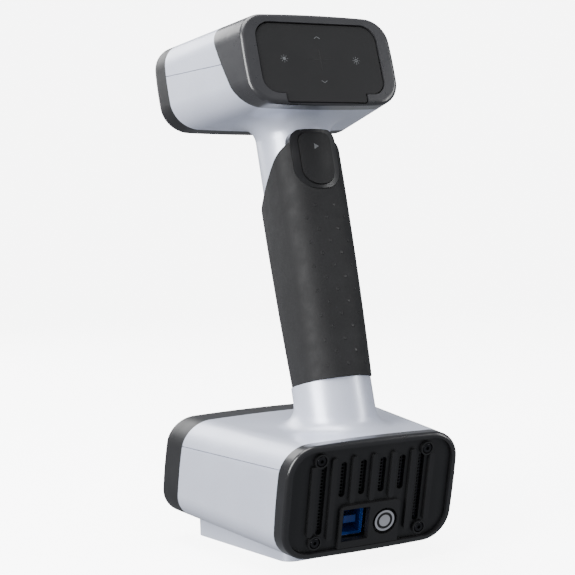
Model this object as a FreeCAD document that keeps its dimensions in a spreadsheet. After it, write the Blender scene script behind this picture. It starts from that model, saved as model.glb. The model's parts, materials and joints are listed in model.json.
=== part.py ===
import FreeCAD, Part
import math
import os
import re
import Sketcher

# Handheld 3-D scanner: a wide optics block at each end of a leaning pistol handle.
# Millimetres, +Z up, X across the scanner, +Y towards the user, -Y towards the scanned object.
# The origin is on the table, under the middle of the base, where the foot plate rests.

vec = FreeCAD.Vector
aboutX = vec(1, 0, 0)
doc = FreeCAD.newDocument("HandheldScanner")
sheet = doc.addObject("Spreadsheet::Sheet", "Params")

# name, value, what it is
sizes = (
    # planes that the blocks are built between: the middle of each, and how far it is tipped
    ("base_front_y", 51.3, "base front plane, towards -Y"),
    ("base_front_z", 35, "height of its middle"),
    ("base_front_tilt", 18, "the base front looks up by this"),
    ("base_rear_y", 41.87, "where the base silver shell meets the rear bezel"),
    ("base_rear_z", 32.3, "height of its middle"),
    ("base_rear_tilt", 14.35, "the base rear looks down by this"),
    ("head_front_y", 52.3, "head front plane, towards -Y"),
    ("head_front_z", 207.8, "height of its middle"),
    ("head_front_tilt", 15.9, "the head front looks down by this"),
    ("head_rear_y", 12.33, "edge plane of the head rear rim"),
    ("head_rear_z", 214.3, "height of its middle"),
    ("head_rear_tilt", 17.35, "the control panel looks up by this"),
    ("head_split_y", 0.6, "silver shell to rear bezel, towards -Y"),
    ("head_split_tilt", 32.6, "that split leans more than the panel"),
    ("handle_y", 14.24, "a point on the handle axis"),
    ("handle_z", 80, "its height"),
    ("handle_lean", 15.12, "the handle leans forward by this"),
    # base block
    ("base_half_width", 54.6, "front of the base"),
    ("base_front_half", 25.55, "half its height at the front"),
    ("base_rise_top", 1.6, "crown of the top and bottom"),
    ("base_rise_side", 1.2, "crown of the sides"),
    ("base_corner", 13.5, "corner radius at the front"),
    ("base_rear_width", 40, "half width at the rim"),
    ("base_rear_half", 25.24, "half its height at the rim"),
    ("base_rear_shift", 1.45, "middle of the rim above the middle of the plane"),
    ("base_rear_rise", 0.8, "crown of all sides at the rim"),
    ("base_rear_corner", 13, "corner radius at the rim"),
    ("base_rim_depth", 6.6, "depth of the rear bezel"),
    ("base_bezel_depth", 15.8, "depth of the front bezel"),
    ("base_seam_z", 46.7, "seam between upper and lower shell"),
    ("base_edge_round", 3, "round of the front edge"),
    ("base_rim_round", 1.6, "round of the rim"),
    # head block
    ("head_half_width", 50.6, "front of the head"),
    ("head_front_half", 22.05, "half its height at the front"),
    ("head_rise_top", 1.6, "crown of the top and bottom"),
    ("head_rise_side", 1.4, "crown of the sides"),
    ("head_corner", 13, "corner radius at the front"),
    ("head_rear_width", 35.9, "half width at the rim"),
    ("head_rear_half", 20.9, "half its height at the rim"),
    ("head_rear_drop", 1.6, "middle of the rim below the middle of the plane"),
    ("head_rear_rise", 1.1, "crown of all sides at the rim"),
    ("head_rear_corner", 11.5, "corner radius at the rim"),
    ("head_rim_depth", 4.2, "rim face beyond the edge plane"),
    ("head_bezel_depth", 11.0, "depth of the front bezel"),
    ("head_seam_z", 213, "seam between upper and lower shell"),
    ("head_rim_round", 2, "round of the rim"),
    # what all moulded parts share
    ("shell_wall", 2.4, "wall of every shell"),
    ("seam_gap", 0.3, "shadow line between shells"),
    ("fit_gap", 0.15, "clearance of parts that slip together"),
    ("pin_gap", 0.06, "clearance of pins that turn"),
    # handle
    ("lower_neck_radius", 17.4, "silver neck under the grip"),
    ("upper_neck_radius", 16.5, "silver neck over the grip"),
    ("neck_bore", 14.5, "bore of both necks"),
    ("lower_neck_fillet", 8, "flare into the base"),
    ("upper_neck_fillet", 9, "flare into the head"),
    ("neck_inside", 34, "lower neck starts this far under the axis point"),
    ("neck_top", 124, "upper neck ends this far up the axis"),
    ("grip_bottom", 4.8, "grip starts this far under the axis point"),
    ("grip_middle", 30, "middle section of the grip"),
    ("grip_top", 100, "top section of the grip"),
    ("grip_cut_height", 84.5, "where the slanted top edge crosses the axis"),
    ("grip_cut_slope", 38, "the top edge rises to the rear by this"),
    ("grip_low_width", 15.9, "half width at the bottom"),
    ("grip_low_depth", 17.4, "half depth at the bottom"),
    ("grip_mid_width", 16.2, "half width at the middle section"),
    ("grip_mid_depth", 18.6, "half depth there"),
    ("grip_high_width", 16.8, "half width at the top"),
    ("grip_high_depth", 19, "half depth at the top"),
    ("grip_low_corner", 13, "corner radius at the bottom"),
    ("grip_high_corner", 11.5, "corner radius further up"),
    ("grip_rise", 2.4, "crown of the four sides"),
    ("grip_shift", 1, "the grip is deeper towards the rear by this"),
    ("rubber_wall", 2, "thickness of the rubber sleeve"),
    ("spine_radius", 10.5, "aluminium tube in the handle"),
    ("spine_wall", 2, "its wall"),
    ("spine_low", 22, "its lower end, under the axis point"),
    ("spine_high", 117, "its upper end"),
    ("spigot_low", 13, "lower end of the lower core spigot"),
    ("spigot_start", 62, "lower end of the upper core spigot"),
    ("spigot_high", 107, "its upper end"),
    ("cable_radius", 2.1, "harness between the blocks"),
    ("cable_bend", 18, "the cable meets the axis this far under the axis point"),
    ("cable_top", 129, "its upper end on the axis"),
    # trigger
    ("trigger_height", 90.25, "middle of the button along the handle axis"),
    ("button_half_width", 7.6, "trigger button"),
    ("button_half_length", 11.65, "trigger button"),
    ("button_top_corner", 3.6, "its upper corners"),
    ("button_low_corner", 7.3, "its lower corners"),
    ("button_stands", 0.6, "proud of its collar"),
    ("button_depth", 3.8, "depth of the cap"),
    ("button_travel", 0.6, "stroke"),
    ("collar_half_width", 11, "plastic collar round the button"),
    ("collar_half_length", 13.4, "plastic collar"),
    ("collar_top_corner", 4.6, "its upper corners"),
    ("collar_low_corner", 9.6, "its lower corners"),
    ("collar_face", 20.6, "its face from the handle axis"),
    ("collar_floor", 13.3, "its inner face"),
    ("collar_crown", 26, "radius of its face"),
    ("switch_size", 6, "tact switch body"),
    ("switch_body", 2.2, "its height"),
    ("plunger_radius", 1.6, "its plunger"),
    ("trigger_board_thick", 1, "board of the trigger"),
    # optics, the same in both blocks unless named
    ("face_thick", 3.8, "front plate of the bezels"),
    ("window_recess", 0.8, "window behind the bezel face"),
    ("window_thick", 2, "acrylic window"),
    ("window_corner", 9, "corner radius of the windows"),
    ("ledge_width", 1.5, "ledge that the window is glued to"),
    ("base_window_width", 42, "half width"),
    ("base_window_half", 17, "half height"),
    ("head_window_width", 38.5, "half width"),
    ("head_window_half", 14.5, "half height"),
    ("base_chassis_depth", 14, "front of the chassis plate"),
    ("base_chassis_width", 46, "half width"),
    ("base_chassis_half", 14.5, "half height"),
    ("head_chassis_depth", 12, "front of the chassis plate"),
    ("head_chassis_width", 42.5, "half width"),
    ("head_chassis_half", 12.3, "half height"),
    ("chassis_thick", 2.5, "both plates"),
    ("post_radius", 2.8, "bezel posts that carry the chassis"),
    ("post_inset", 2.6, "post from the chassis side"),
    ("post_drop", 4, "post from the chassis top or bottom"),
    ("projector_radius", 12, "pattern projector barrel"),
    ("projector_bore", 9.6, "its bore"),
    ("projector_length", 24, "depth of its rear end"),
    ("projector_box_width", 15, "half width of its light engine"),
    ("projector_box_half", 9, "half height"),
    ("projector_box_length", 11, "length"),
    ("base_camera_x", 27, "stereo camera from the middle"),
    ("head_camera_x", 24, "stereo camera from the middle"),
    ("camera_radius", 8, "camera barrels"),
    ("camera_bore", 6.2, "their bore"),
    ("camera_length", 20, "depth of their rear end"),
    ("camera_board_half", 13, "half size of the sensor boards"),
    ("board_thick", 1.6, "circuit boards"),
    ("flange_wide", 2.6, "barrel flange beyond the barrel"),
    ("flange_thick", 2.5, "barrel flange"),
    ("led_board_radius", 12.8, "ring of lights round each stereo camera"),
    ("led_hole_radius", 12, "its hole in the window"),
    ("led_circle", 10.1, "circle of the lights"),
    ("led_radius", 1.1, "one light"),
    ("led_stands", 1.5, "light over its board"),
    ("texture_radius", 6.6, "colour camera barrel"),
    ("texture_bore", 5, "its bore"),
    ("texture_board_half", 10, "half size of its board"),
    ("laser_radius", 5.2, "line laser barrel"),
    ("laser_bore", 3.4, "its bore"),
    ("lens_gap", 0.1, "lens in its barrel"),
    ("lens_thick", 4, "all lenses"),
    ("lens_depth", 2.2, "lens face behind the bezel face"),
    ("barrel_start", 0.9, "barrel nose behind the bezel face"),
    ("head_board_depth", 30, "head circuit board"),
    ("head_board_width", 30, "half width"),
    ("head_board_half", 12.5, "half height"),
    ("standoff_radius", 2.2, "posts under the boards"),
    ("screw_radius", 1.1, "small screws"),
    ("screw_head", 2.1, "their heads"),
    ("screw_head_thick", 1.4, "their heads"),
    ("screw_gap", 0.1, "hole round a screw"),
    # rear of the base
    ("panel_half_width", 37.4, "opening of the rear bezel"),
    ("panel_half_height", 22.4, "opening of the rear bezel"),
    ("panel_shift", 1.25, "its middle above the plane middle"),
    ("panel_corner", 10.4, "its corners"),
    ("panel_face", 4.9, "face of the vent panel from the plane"),
    ("panel_thick", 1.5, "its thickness"),
    ("vent_pitch", 4.6, "spacing of ribs and slots"),
    ("rib_width", 2.5, "raised rib"),
    ("rib_stands", 1.3, "rib over the panel"),
    ("slot_width", 2.9, "open slot"),
    ("short_slot_low", 1.8, "slots over the port block"),
    ("short_slot_high", 17.2, "slots over the port block"),
    ("long_slot_low", -13.8, "slots beside the port block"),
    ("long_slot_high", 17, "slots beside the port block"),
    ("rib_high", 19.6, "top of the ribs"),
    ("short_rib_low", -1, "ribs over the port block"),
    ("long_rib_low", -16.6, "ribs beside the port block"),
    ("vent_back_width", 31, "half width of the opening behind the panel"),
    ("vent_back_low", -15, "its lower edge"),
    ("vent_back_high", 17.7, "its upper edge"),
    ("mesh_thick", 0.5, "perforated sheet"),
    ("block_half_width", 14.2, "raised port block"),
    ("block_top", -2, "its top edge"),
    ("screw_x", 24.8, "panel screws"),
    ("screw_top", 19.1, "upper screws"),
    ("screw_low", -16.8, "lower screws"),
    ("screw_boss", 3, "round boss of a screw"),
    ("usb_x", 6.6, "middle of the data port"),
    ("usb_z", -10.8, "middle of the data port"),
    ("usb_half_width", 6.1, "its metal shell"),
    ("usb_half_height", 7, "its metal shell"),
    ("usb_wall", 0.5, "shell wall"),
    ("usb_back", -10, "rear of both ports"),
    ("usb_cavity_width", 4.3, "half width of the plug cavity"),
    ("usb_cavity_half", 5.4, "half height of the plug cavity"),
    ("usb_cavity_deep", 8, "depth of the plug cavity"),
    ("usb_tongue_width", 2.8, "half width of the contact tongue"),
    ("usb_tongue_half", 1.6, "half height of the tongue"),
    ("usb_tongue_back", 1, "tongue behind the port face"),
    ("usb_face_drop", 4.4, "data port behind the port block face"),
    ("socket_x", 7.4, "middle of the power socket, towards -X"),
    ("socket_z", -11.2, "its height"),
    ("socket_recess", 5.9, "recess round the power socket"),
    ("socket_radius", 4.65, "metal ring"),
    ("socket_inner", 3.7, "its bore"),
    ("socket_pin", 2.6, "metal centre"),
    ("socket_back", -8, "rear of the socket"),
    ("port_face_drop", 0.3, "power socket behind the port block face"),
    # foot
    ("foot_rear_y", 15.3, "rear edge of the foot plate"),
    ("foot_front_y", 57, "front edge, towards -Y"),
    ("foot_rear_width", 24, "half width at the rear"),
    ("foot_front_width", 37.5, "half width at the front"),
    ("foot_height", 11.4, "before it is cut to the base"),
    ("foot_corner", 6, "vertical corners"),
    ("foot_screw_x", 17, "foot screws"),
    ("foot_screw_front", 24, "towards -Y"),
    ("foot_screw_rear", 6, "towards +Y"),
    ("foot_screw_radius", 1.5, "foot screws"),
    ("foot_screw_head", 3, "their heads"),
    ("foot_screw_seat", 4.5, "depth of the counterbores"),
    ("foot_screw_top", 15.4, "end of the foot screws"),
    ("foot_boss", 3.6, "their bosses"),
    ("boss_foot", 10.9, "bosses start in the wall of the lower shell"),
    ("foot_boss_top", 16.4, "their bosses"),
    # electronics in the base
    ("main_board_z", 17, "underside of the main board"),
    ("main_board_width", 38, "half width"),
    ("main_board_front", 12, "front edge, towards -Y"),
    ("main_board_rear", 11, "rear edge"),
    ("main_boss_x", 33, "its bosses"),
    ("main_boss_inset", 4, "boss from the front and rear edge"),
    ("main_boss", 3, "boss radius"),
    ("heatsink_x", 21, "middle of the heatsink"),
    ("heatsink_half", 9, "half size"),
    ("heatsink_base", 2, "its floor"),
    ("heatsink_height", 11, "with the fins"),
    ("fin_count", 6, "fins"),
    ("fin_thick", 1.1, "one fin"),
    ("plug_half", 5, "half width of the harness plugs"),
    ("plug_height", 4.6, "harness plugs"),
    ("plug_y", 4, "middle of the lower plug"),
    ("plug_depth", 3, "half depth of the lower plug"),
    ("fan_half", 15, "half size of the fan frame"),
    ("fan_front", -24.6, "front of the fan from the rear plane"),
    ("fan_thick", 10, "its thickness"),
    ("fan_middle", -5, "its middle"),
    ("fan_bore", 13.9, "its duct"),
    ("fan_hub", 6.8, "rotor hub"),
    ("fan_tip", 13.3, "radius at the blade tips"),
    ("fan_blades", 7, "blades"),
    ("fan_pitch", 35, "blade angle"),
    ("fan_plate", 1.6, "web that carries the rotor"),
    ("fan_axle", 1.1, "its axle"),
    ("rib_x", 11, "ribs of the lower shell under the fan"),
    ("rib_foot", -27, "where they start in the wall"),
    ("port_board_thick", 1.6, "board behind the ports"),
    # control panel, in the plane of the head rear
    ("pad_half_width", 28.8, "control pad"),
    ("pad_top", 14.8, "its top edge"),
    ("pad_shoulder", -16.8, "its lower shoulders"),
    ("pad_bottom", -20.9, "its lower tab"),
    ("pad_tab_width", 19.1, "half width of the tab"),
    ("pad_top_corner", 7.2, "upper corners"),
    ("pad_low_corner", 6.4, "lower corners"),
    ("pad_tab_corner", 1.2, "tab corners"),
    ("pad_gap", 0.5, "gap round the pad"),
    ("pad_face", 3.6, "its face from the plane"),
    ("pad_thick", 2.2, "its thickness"),
    ("pad_middle", -1.4, "pivot height"),
    ("pivot_depth", -1.2, "pivot from the plane"),
    ("carrier_half_width", 13, "rocking frame"),
    ("carrier_half_height", 8, "rocking frame"),
    ("carrier_bar", 3, "width of its bars"),
    ("carrier_half_thick", 1.4, "half its thickness"),
    ("pivot_radius", 0.9, "pivot pins"),
    ("pivot_length", 3.2, "pins beyond the frame"),
    ("lug_low", 1.6, "pad lugs start this far from the pivot height"),
    ("lug_thick", 3, "pad lugs"),
    ("lug_half", 2.2, "half width of a lug"),
    ("lug_gap", 0.4, "gap beside a lug or frame end"),
    ("tray_front", -6.5, "front of the tray"),
    ("tray_thick", 1.5, "the tray"),
    ("tray_half_width", 33.4, "the tray"),
    ("tray_half_height", 15, "the tray"),
    ("tray_post_x", 31.7, "bezel posts that hold the tray"),
    ("tray_post_z", 10, "from the pivot height"),
    ("tray_post", 2, "post radius"),
    ("pad_board_width", 27, "half width of the pad board"),
    ("pad_board_half", 13.6, "half height"),
    ("pad_board_thick", 1.3, "the pad board"),
    ("key_x", 22.5, "side switches from the middle"),
    ("key_z", 11, "upper and lower switches from the pivot height"),
    ("key_half", 2.2, "half size of a switch"),
    ("key_height", 3.4, "height of a switch"),
    ("key_gap", 0.8, "pad post over its switch"),
    ("key_post", 1.5, "pad posts"),
    ("far_off", 200, "reach of the cutting blocks"),
)
for row, (name, value, note) in enumerate(sizes, 1):
    sheet.set(f"A{row}", name)
    sheet.set(f"B{row}", str(value))
    sheet.set(f"C{row}", note)
    sheet.setAlias(f"B{row}", name)
doc.recompute()


# Expressions are written with the bare names of the sheet.
def linked(text):
    return re.sub(r"\b([a-z][a-z0-9]*(?:_[a-z0-9]+)+)\b", r"Params.\1", str(text))


def number(text):
    return float(sheet.evalExpression(linked(text)))


def bind(item, links):
    for path, text in links.items():
        item.setExpression(path, linked(text))


# A frame is a tipped plane: its point on the YZ plane, its tilt and the sense of the tilt about X.
# Inside a frame y runs in depth and z along the plane.
frames = {
    "table": ("0", "0", "0", 1),
    "base_front": ("0 - base_front_y", "base_front_z", "base_front_tilt", -1),
    "base_rear": ("base_rear_y", "base_rear_z", "base_rear_tilt", -1),
    "head_front": ("0 - head_front_y", "head_front_z", "head_front_tilt", 1),
    "head_rear": ("head_rear_y", "head_rear_z", "head_rear_tilt", 1),
    "head_split": ("0 - head_split_y", "head_rear_z", "head_split_tilt", 1),
    "handle": ("handle_y", "handle_z", "handle_lean", 1),
    "grip_cut": (
        "handle_y - grip_cut_height * sin(handle_lean)",
        "handle_z + grip_cut_height * cos(handle_lean)",
        "handle_lean + grip_cut_slope", 1),
}


# World y and z of the point at depth d and height s in a frame.
def spot(frame, d="0", s="0"):
    y0, z0, tilt, sense = frames[frame]
    sine = f"({sense} * sin({tilt}))"
    cosine = f"cos({tilt})"
    return f"{y0} + ({d}) * {cosine} - ({s}) * {sine}", f"{z0} + ({d}) * {sine} + ({s}) * {cosine}"


def seat(item, frame, x="0", d="0", s="0", turn=0):
    tilt, sense = frames[frame][2:]
    y, z = spot(frame, d, s)
    if frame != "table" or turn:
        angle = f"{turn} + {sense} * ({tilt})"
        side = 1 if number(angle) >= 0 else -1
        item.Placement = FreeCAD.Placement(vec(), FreeCAD.Rotation(vec(side, 0, 0), abs(number(angle))))
        bind(item, {"Placement.Rotation.Angle": f"{side} * ({angle})"})
    bind(item, {"Placement.Base.x": x, "Placement.Base.y": y, "Placement.Base.z": z})
    return item


# Blocks and rods inside a frame. Each of x, y and z is a pair: from, to.
def block(frame, x, y, z):
    item = doc.addObject("Part::Box", "Block")
    bind(item, {"Length": f"({x[1]}) - ({x[0]})", "Width": f"({y[1]}) - ({y[0]})",
                "Height": f"({z[1]}) - ({z[0]})"})
    return seat(item, frame, x[0], y[0], z[0])


def deepRod(frame, radius, reach, x="0", s="0"):
    item = doc.addObject("Part::Cylinder", "DeepRod")
    bind(item, {"Radius": radius, "Height": f"({reach[1]}) - ({reach[0]})"})
    return seat(item, frame, x, reach[0], s, -90)


def tallRod(frame, radius, reach, x="0", d="0"):
    item = doc.addObject("Part::Cylinder", "TallRod")
    bind(item, {"Radius": radius, "Height": f"({reach[1]}) - ({reach[0]})"})
    return seat(item, frame, x, d, reach[0])


def crossRod(frame, radius, reach, d="0", s="0"):
    item = doc.addObject("Part::Cylinder", "CrossRod")
    bind(item, {"Radius": radius, "Height": f"({reach[1]}) - ({reach[0]})"})
    item.Placement = FreeCAD.Placement(vec(), FreeCAD.Rotation(vec(0, 1, 0), 90))
    y, z = spot(frame, d, s)
    bind(item, {"Placement.Base.x": reach[0], "Placement.Base.y": y, "Placement.Base.z": z})
    return item


def join(*items):
    if len(items) == 1:
        return items[0]
    whole = doc.addObject("Part::MultiFuse", "Join")
    whole.Shapes = list(items)
    return whole


def group(items):
    whole = doc.addObject("Part::Compound", "Group")
    whole.Links = list(items)
    return whole


def less(base, *tools):
    rest = doc.addObject("Part::Cut", "Less")
    rest.Base = base
    rest.Tool = join(*tools)
    return rest


def overlap(first, second):
    shared = doc.addObject("Part::Common", "Overlap")
    shared.Base = first
    shared.Tool = second
    return shared


nodes = []


def node(label, item):
    item.Label = label
    nodes.append(item)
    return item


def originPlane(body, role):
    return next(item for item in body.Origin.OriginFeatures if item.Role == role)


def newSketch(body, role, shift=None):
    sketch = body.newObject("Sketcher::SketchObject", "Outline")
    sketch.AttachmentSupport = [(originPlane(body, role), "")]
    sketch.MapMode = "FlatFace"
    if shift:
        bind(sketch, {f"AttachmentOffset.Base.{axis}": text for axis, text in shift.items()})
    return sketch


def drive(sketch, constraints):
    for constraint, text in constraints:
        place = sketch.addConstraint(constraint)
        sketch.setExpression(f"Constraints[{place}]", linked(text))


def addArc(sketch, centre, radius, start, end):
    circle = Part.Circle(vec(centre[0], centre[1], 0), vec(0, 0, 1), radius)
    sketch.addGeometry(Part.ArcOfCircle(circle, start, end), False)


def addLine(sketch, start, end):
    sketch.addGeometry(Part.LineSegment(vec(*start, 0), vec(*end, 0)), False)


# A rounded rectangle with crowned sides: four wide arcs and four corner arcs, all tangent.
def crownedOutline(sketch, wide, high, riseTop, riseSide, corner):
    topText = f"((({wide})^2 + ({riseTop})^2) / (2 * ({riseTop})))"
    sideText = f"((({high})^2 + ({riseSide})^2) / (2 * ({riseSide})))"
    halfWide, halfHigh, cornerRadius = number(wide), number(high), number(corner)
    topRadius, sideRadius = number(topText), number(sideText)
    topY, sideX = halfHigh - topRadius, halfWide - sideRadius
    # the corner circle touches both crown circles from inside
    apart = math.hypot(sideX, topY)
    toTop, toSide = topRadius - cornerRadius, sideRadius - cornerRadius
    along = (toTop ** 2 - toSide ** 2 + apart ** 2) / (2 * apart)
    aside = math.sqrt(toTop ** 2 - along ** 2)
    ux, uy = sideX / apart, -topY / apart
    options = [(ux * along - uy * aside * sign, topY + uy * along + ux * aside * sign)
               for sign in (1, -1)]
    cornerX, cornerY = max(options, key=sum)
    low = math.atan2(cornerY, cornerX - sideX)
    topTurn = math.atan2(cornerY - topY, cornerX)
    turn = math.pi
    addArc(sketch, (sideX, 0), sideRadius, -low, low)
    addArc(sketch, (cornerX, cornerY), cornerRadius, low, topTurn)
    addArc(sketch, (0, topY), topRadius, topTurn, turn - topTurn)
    addArc(sketch, (-cornerX, cornerY), cornerRadius, turn - topTurn, turn - low)
    addArc(sketch, (-sideX, 0), sideRadius, turn - low, turn + low)
    addArc(sketch, (-cornerX, -cornerY), cornerRadius, turn + low, turn + topTurn)
    addArc(sketch, (0, -topY), topRadius, turn + topTurn, 2 * turn - topTurn)
    addArc(sketch, (cornerX, -cornerY), cornerRadius, 2 * turn - topTurn, 2 * turn - low)
    rule = Sketcher.Constraint
    for edge in range(8):
        sketch.addConstraint(rule("Tangent", edge, 2, (edge + 1) % 8, 1))
    for edge, axis in ((0, -1), (4, -1), (2, -2), (6, -2)):
        sketch.addConstraint(rule("PointOnObject", edge, 3, axis))
    for first, second in ((1, 3), (1, 5), (1, 7), (0, 4), (2, 6)):
        sketch.addConstraint(rule("Equal", first, second))
    drive(sketch, (
        (rule("Radius", 0, sideRadius), sideText),
        (rule("Radius", 2, topRadius), topText),
        (rule("Radius", 1, cornerRadius), corner),
        (rule("DistanceX", 0, 3, -1, 1, -sideX), f"{sideText} - ({wide})"),
        (rule("DistanceX", -1, 1, 4, 3, -sideX), f"{sideText} - ({wide})"),
        (rule("DistanceY", 2, 3, -1, 1, -topY), f"{topText} - ({high})"),
        (rule("DistanceY", -1, 1, 6, 3, -topY), f"{topText} - ({high})")))


# A plain rounded rectangle; the upper and the lower corners have a radius each.
def roundedOutline(sketch, wide, high, topCorner, lowCorner):
    w, hi, top, low = number(wide), number(high), number(topCorner), number(lowCorner)
    quarter = math.pi / 2
    addLine(sketch, (w, low - hi), (w, hi - top))
    addArc(sketch, (w - top, hi - top), top, 0, quarter)
    addLine(sketch, (w - top, hi), (top - w, hi))
    addArc(sketch, (top - w, hi - top), top, quarter, 2 * quarter)
    addLine(sketch, (-w, hi - top), (-w, low - hi))
    addArc(sketch, (low - w, low - hi), low, 2 * quarter, 3 * quarter)
    addLine(sketch, (low - w, -hi), (w - low, -hi))
    addArc(sketch, (w - low, low - hi), low, 3 * quarter, 4 * quarter)
    rule = Sketcher.Constraint
    for edge in range(8):
        sketch.addConstraint(rule("Tangent", edge, 2, (edge + 1) % 8, 1))
    for edge, kind in ((0, "Vertical"), (2, "Horizontal"), (4, "Vertical"), (6, "Horizontal")):
        sketch.addConstraint(rule(kind, edge))
    sketch.addConstraint(rule("Equal", 1, 3))
    sketch.addConstraint(rule("Equal", 5, 7))
    drive(sketch, (
        (rule("Radius", 1, top), topCorner),
        (rule("Radius", 5, low), lowCorner),
        (rule("DistanceX", -1, 1, 0, 1, w), wide),
        (rule("DistanceX", 4, 1, -1, 1, w), wide),
        (rule("DistanceY", -1, 1, 2, 1, hi), high),
        (rule("DistanceY", 6, 1, -1, 1, hi), high)))


# A plate in a frame: outlines padded between two depths, all in one body.
def plate(name, frame, depths, outlines):
    body = doc.addObject("PartDesign::Body", name)
    for outline in outlines:
        low, high = outline.get("depths", depths)
        sketch = newSketch(body, "XZ_Plane", {"x": outline.get("x", "0"), "y": outline.get("z", "0"),
                                              "z": f"0 - ({high})"})
        roundedOutline(sketch, outline["wide"], outline["high"], outline["top"], outline["low"])
        cut = outline.get("cut", False)
        step = body.newObject("PartDesign::Pocket" if cut else "PartDesign::Pad", "Plate")
        step.Profile = sketch
        # the sketch looks along -Y, so a pad runs down from the upper depth, and a pocket up
        step.Reversed = cut
        bind(step, {"Length": f"({high}) - ({low})"})
    return seat(body, frame)


# A hull between two tipped planes, each with its own crowned outline.
def hull(name, sections, rounds=()):
    body = doc.addObject("PartDesign::Body", name)
    sketches = []
    for frame, d, s, *outline in sections:
        sketch = newSketch(body, "XZ_Plane")
        tilt, sense = frames[frame][2:]
        turn = FreeCAD.Rotation(vec(sense, 0, 0), number(tilt))
        sketch.AttachmentOffset = FreeCAD.Placement(vec(), turn)
        y, z = spot(frame, d, s)
        bind(sketch, {"AttachmentOffset.Rotation.Angle": tilt, "AttachmentOffset.Base.y": z,
                      "AttachmentOffset.Base.z": f"0 - ({y})"})
        crownedOutline(sketch, *outline)
        sketches.append(sketch)
    # the rear outline leads, so the solid comes out with its faces outward
    loft = body.newObject("PartDesign::AdditiveLoft", "Loft")
    loft.Profile = sketches[-1]
    loft.Sections = sketches[:-1]
    loft.Ruled = True
    step = loft
    for direction, radius in rounds:
        doc.recompute()
        edges = faceEdges(step.Shape, direction)
        fillet = body.newObject("PartDesign::Fillet", "EdgeRound")
        fillet.Base = (step, edges)
        bind(fillet, {"Radius": radius})
        step = fillet
    return body


# Names of the edges round the flat face that looks most along a direction.
def faceEdges(shape, direction):
    flats = [face for face in shape.Faces if isinstance(face.Surface, Part.Plane)]
    best = max(flats, key=lambda face: face.normalAt(0, 0).dot(direction))
    return [f"Edge{place}" for place, edge in enumerate(shape.Edges, 1)
            if any(edge.isSame(other) for other in best.Edges)]


# The edges where a round neck leaves a block: curved, on the neck's own face, and near the block.
def neckEdges(shape, radius, nearZ):
    sides = [face for face in shape.Faces if isinstance(face.Surface, Part.Cylinder)
             and abs(face.Surface.Radius - radius) < 0.01 and face.BoundBox.ZLength > radius / 2]
    return [place for place, edge in enumerate(shape.Edges, 1)
            if any(edge.isSame(other) for side in sides for other in side.Edges)
            and not isinstance(edge.Curve, Part.Line)
            and abs(edge.CenterOfMass.z - nearZ) < radius / 2]


def neckedHull(outer, frameReach, radius, fillet, nearZ):
    neck = tallRod("handle", radius, frameReach)
    whole = join(outer, neck)
    doc.recompute()
    flare = doc.addObject("Part::Fillet", "Flare")
    flare.Base = whole
    flare.Edges = [(place, number(fillet), number(fillet))
                   for place in neckEdges(whole.Shape, number(radius), nearZ)]
    print("neck edges", len(flare.Edges))
    return flare


def both(text):
    return (f"0 - ({text})", text)


wide = both("far_off")

# ---- base and head hulls ----
baseOuter = hull("BaseOuter", (
    ("base_front", "0", "0", "base_half_width", "base_front_half", "base_rise_top",
     "base_rise_side", "base_corner"),
    ("base_rear", "base_rim_depth", "base_rear_shift", "base_rear_width", "base_rear_half",
     "base_rear_rise", "base_rear_rise", "base_rear_corner")),
    ((vec(0, -1, 0.3), "base_edge_round"), (vec(0, 1, -0.3), "base_rim_round")))
baseInner = hull("BaseInner", (
    ("base_front", "0", "0", "base_half_width - shell_wall", "base_front_half - shell_wall",
     "base_rise_top", "base_rise_side", "base_corner - shell_wall"),
    ("base_rear", "base_rim_depth", "base_rear_shift", "base_rear_width - shell_wall",
     "base_rear_half - shell_wall", "base_rear_rise", "base_rear_rise",
     "base_rear_corner - shell_wall")))
headOuter = hull("HeadOuter", (
    ("head_front", "0", "0", "head_half_width", "head_front_half", "head_rise_top",
     "head_rise_side", "head_corner"),
    ("head_rear", "head_rim_depth", "0 - head_rear_drop", "head_rear_width", "head_rear_half",
     "head_rear_rise", "head_rear_rise", "head_rear_corner")),
    ((vec(0, -1, -0.3), "base_edge_round"), (vec(0, 1, 0.3), "head_rim_round")))
headInner = hull("HeadInner", (
    ("head_front", "0", "0", "head_half_width - shell_wall", "head_front_half - shell_wall",
     "head_rise_top", "head_rise_side", "head_corner - shell_wall"),
    ("head_rear", "head_rim_depth", "0 - head_rear_drop", "head_rear_width - shell_wall",
     "head_rear_half - shell_wall", "head_rear_rise", "head_rear_rise",
     "head_rear_corner - shell_wall")))

# blocks that take away what lies in front of, behind, over or under a split
baseFrontPart = block("base_front", wide, ("0 - far_off", "base_bezel_depth"), wide)
baseRearPart = block("base_rear", wide, ("0", "far_off"), wide)
headFrontPart = block("head_front", wide, ("0 - far_off", "head_bezel_depth"), wide)
headRearPart = block("head_split", wide, ("0", "far_off"), wide)
underBaseSeam = block("table", wide, wide, ("0 - far_off", "base_seam_z + seam_gap / 2"))
overBaseSeam = block("table", wide, wide, ("base_seam_z - seam_gap / 2", "far_off"))
underHeadSeam = block("table", wide, wide, ("0", "head_seam_z + seam_gap / 2"))
overHeadSeam = block("table", wide, wide, ("head_seam_z - seam_gap / 2", "2 * far_off"))
underGripCut = block("grip_cut", wide, wide, ("0 - far_off", "fit_gap"))
overGripCut = block("grip_cut", wide, wide, ("0", "far_off"))

# ---- trigger envelope, cut from what surrounds it ----
triggerShape = {"z": "trigger_height", "wide": "collar_half_width", "high": "collar_half_length",
                "top": "collar_top_corner", "low": "collar_low_corner"}
clearShape = {"z": "trigger_height", "wide": "collar_half_width + fit_gap",
              "high": "collar_half_length + fit_gap", "top": "collar_top_corner + fit_gap",
              "low": "collar_low_corner + fit_gap"}
triggerRoom = plate("TriggerRoom", "handle", ("collar_floor - fit_gap", "collar_face + far_off"),
                    (clearShape,))

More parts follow.
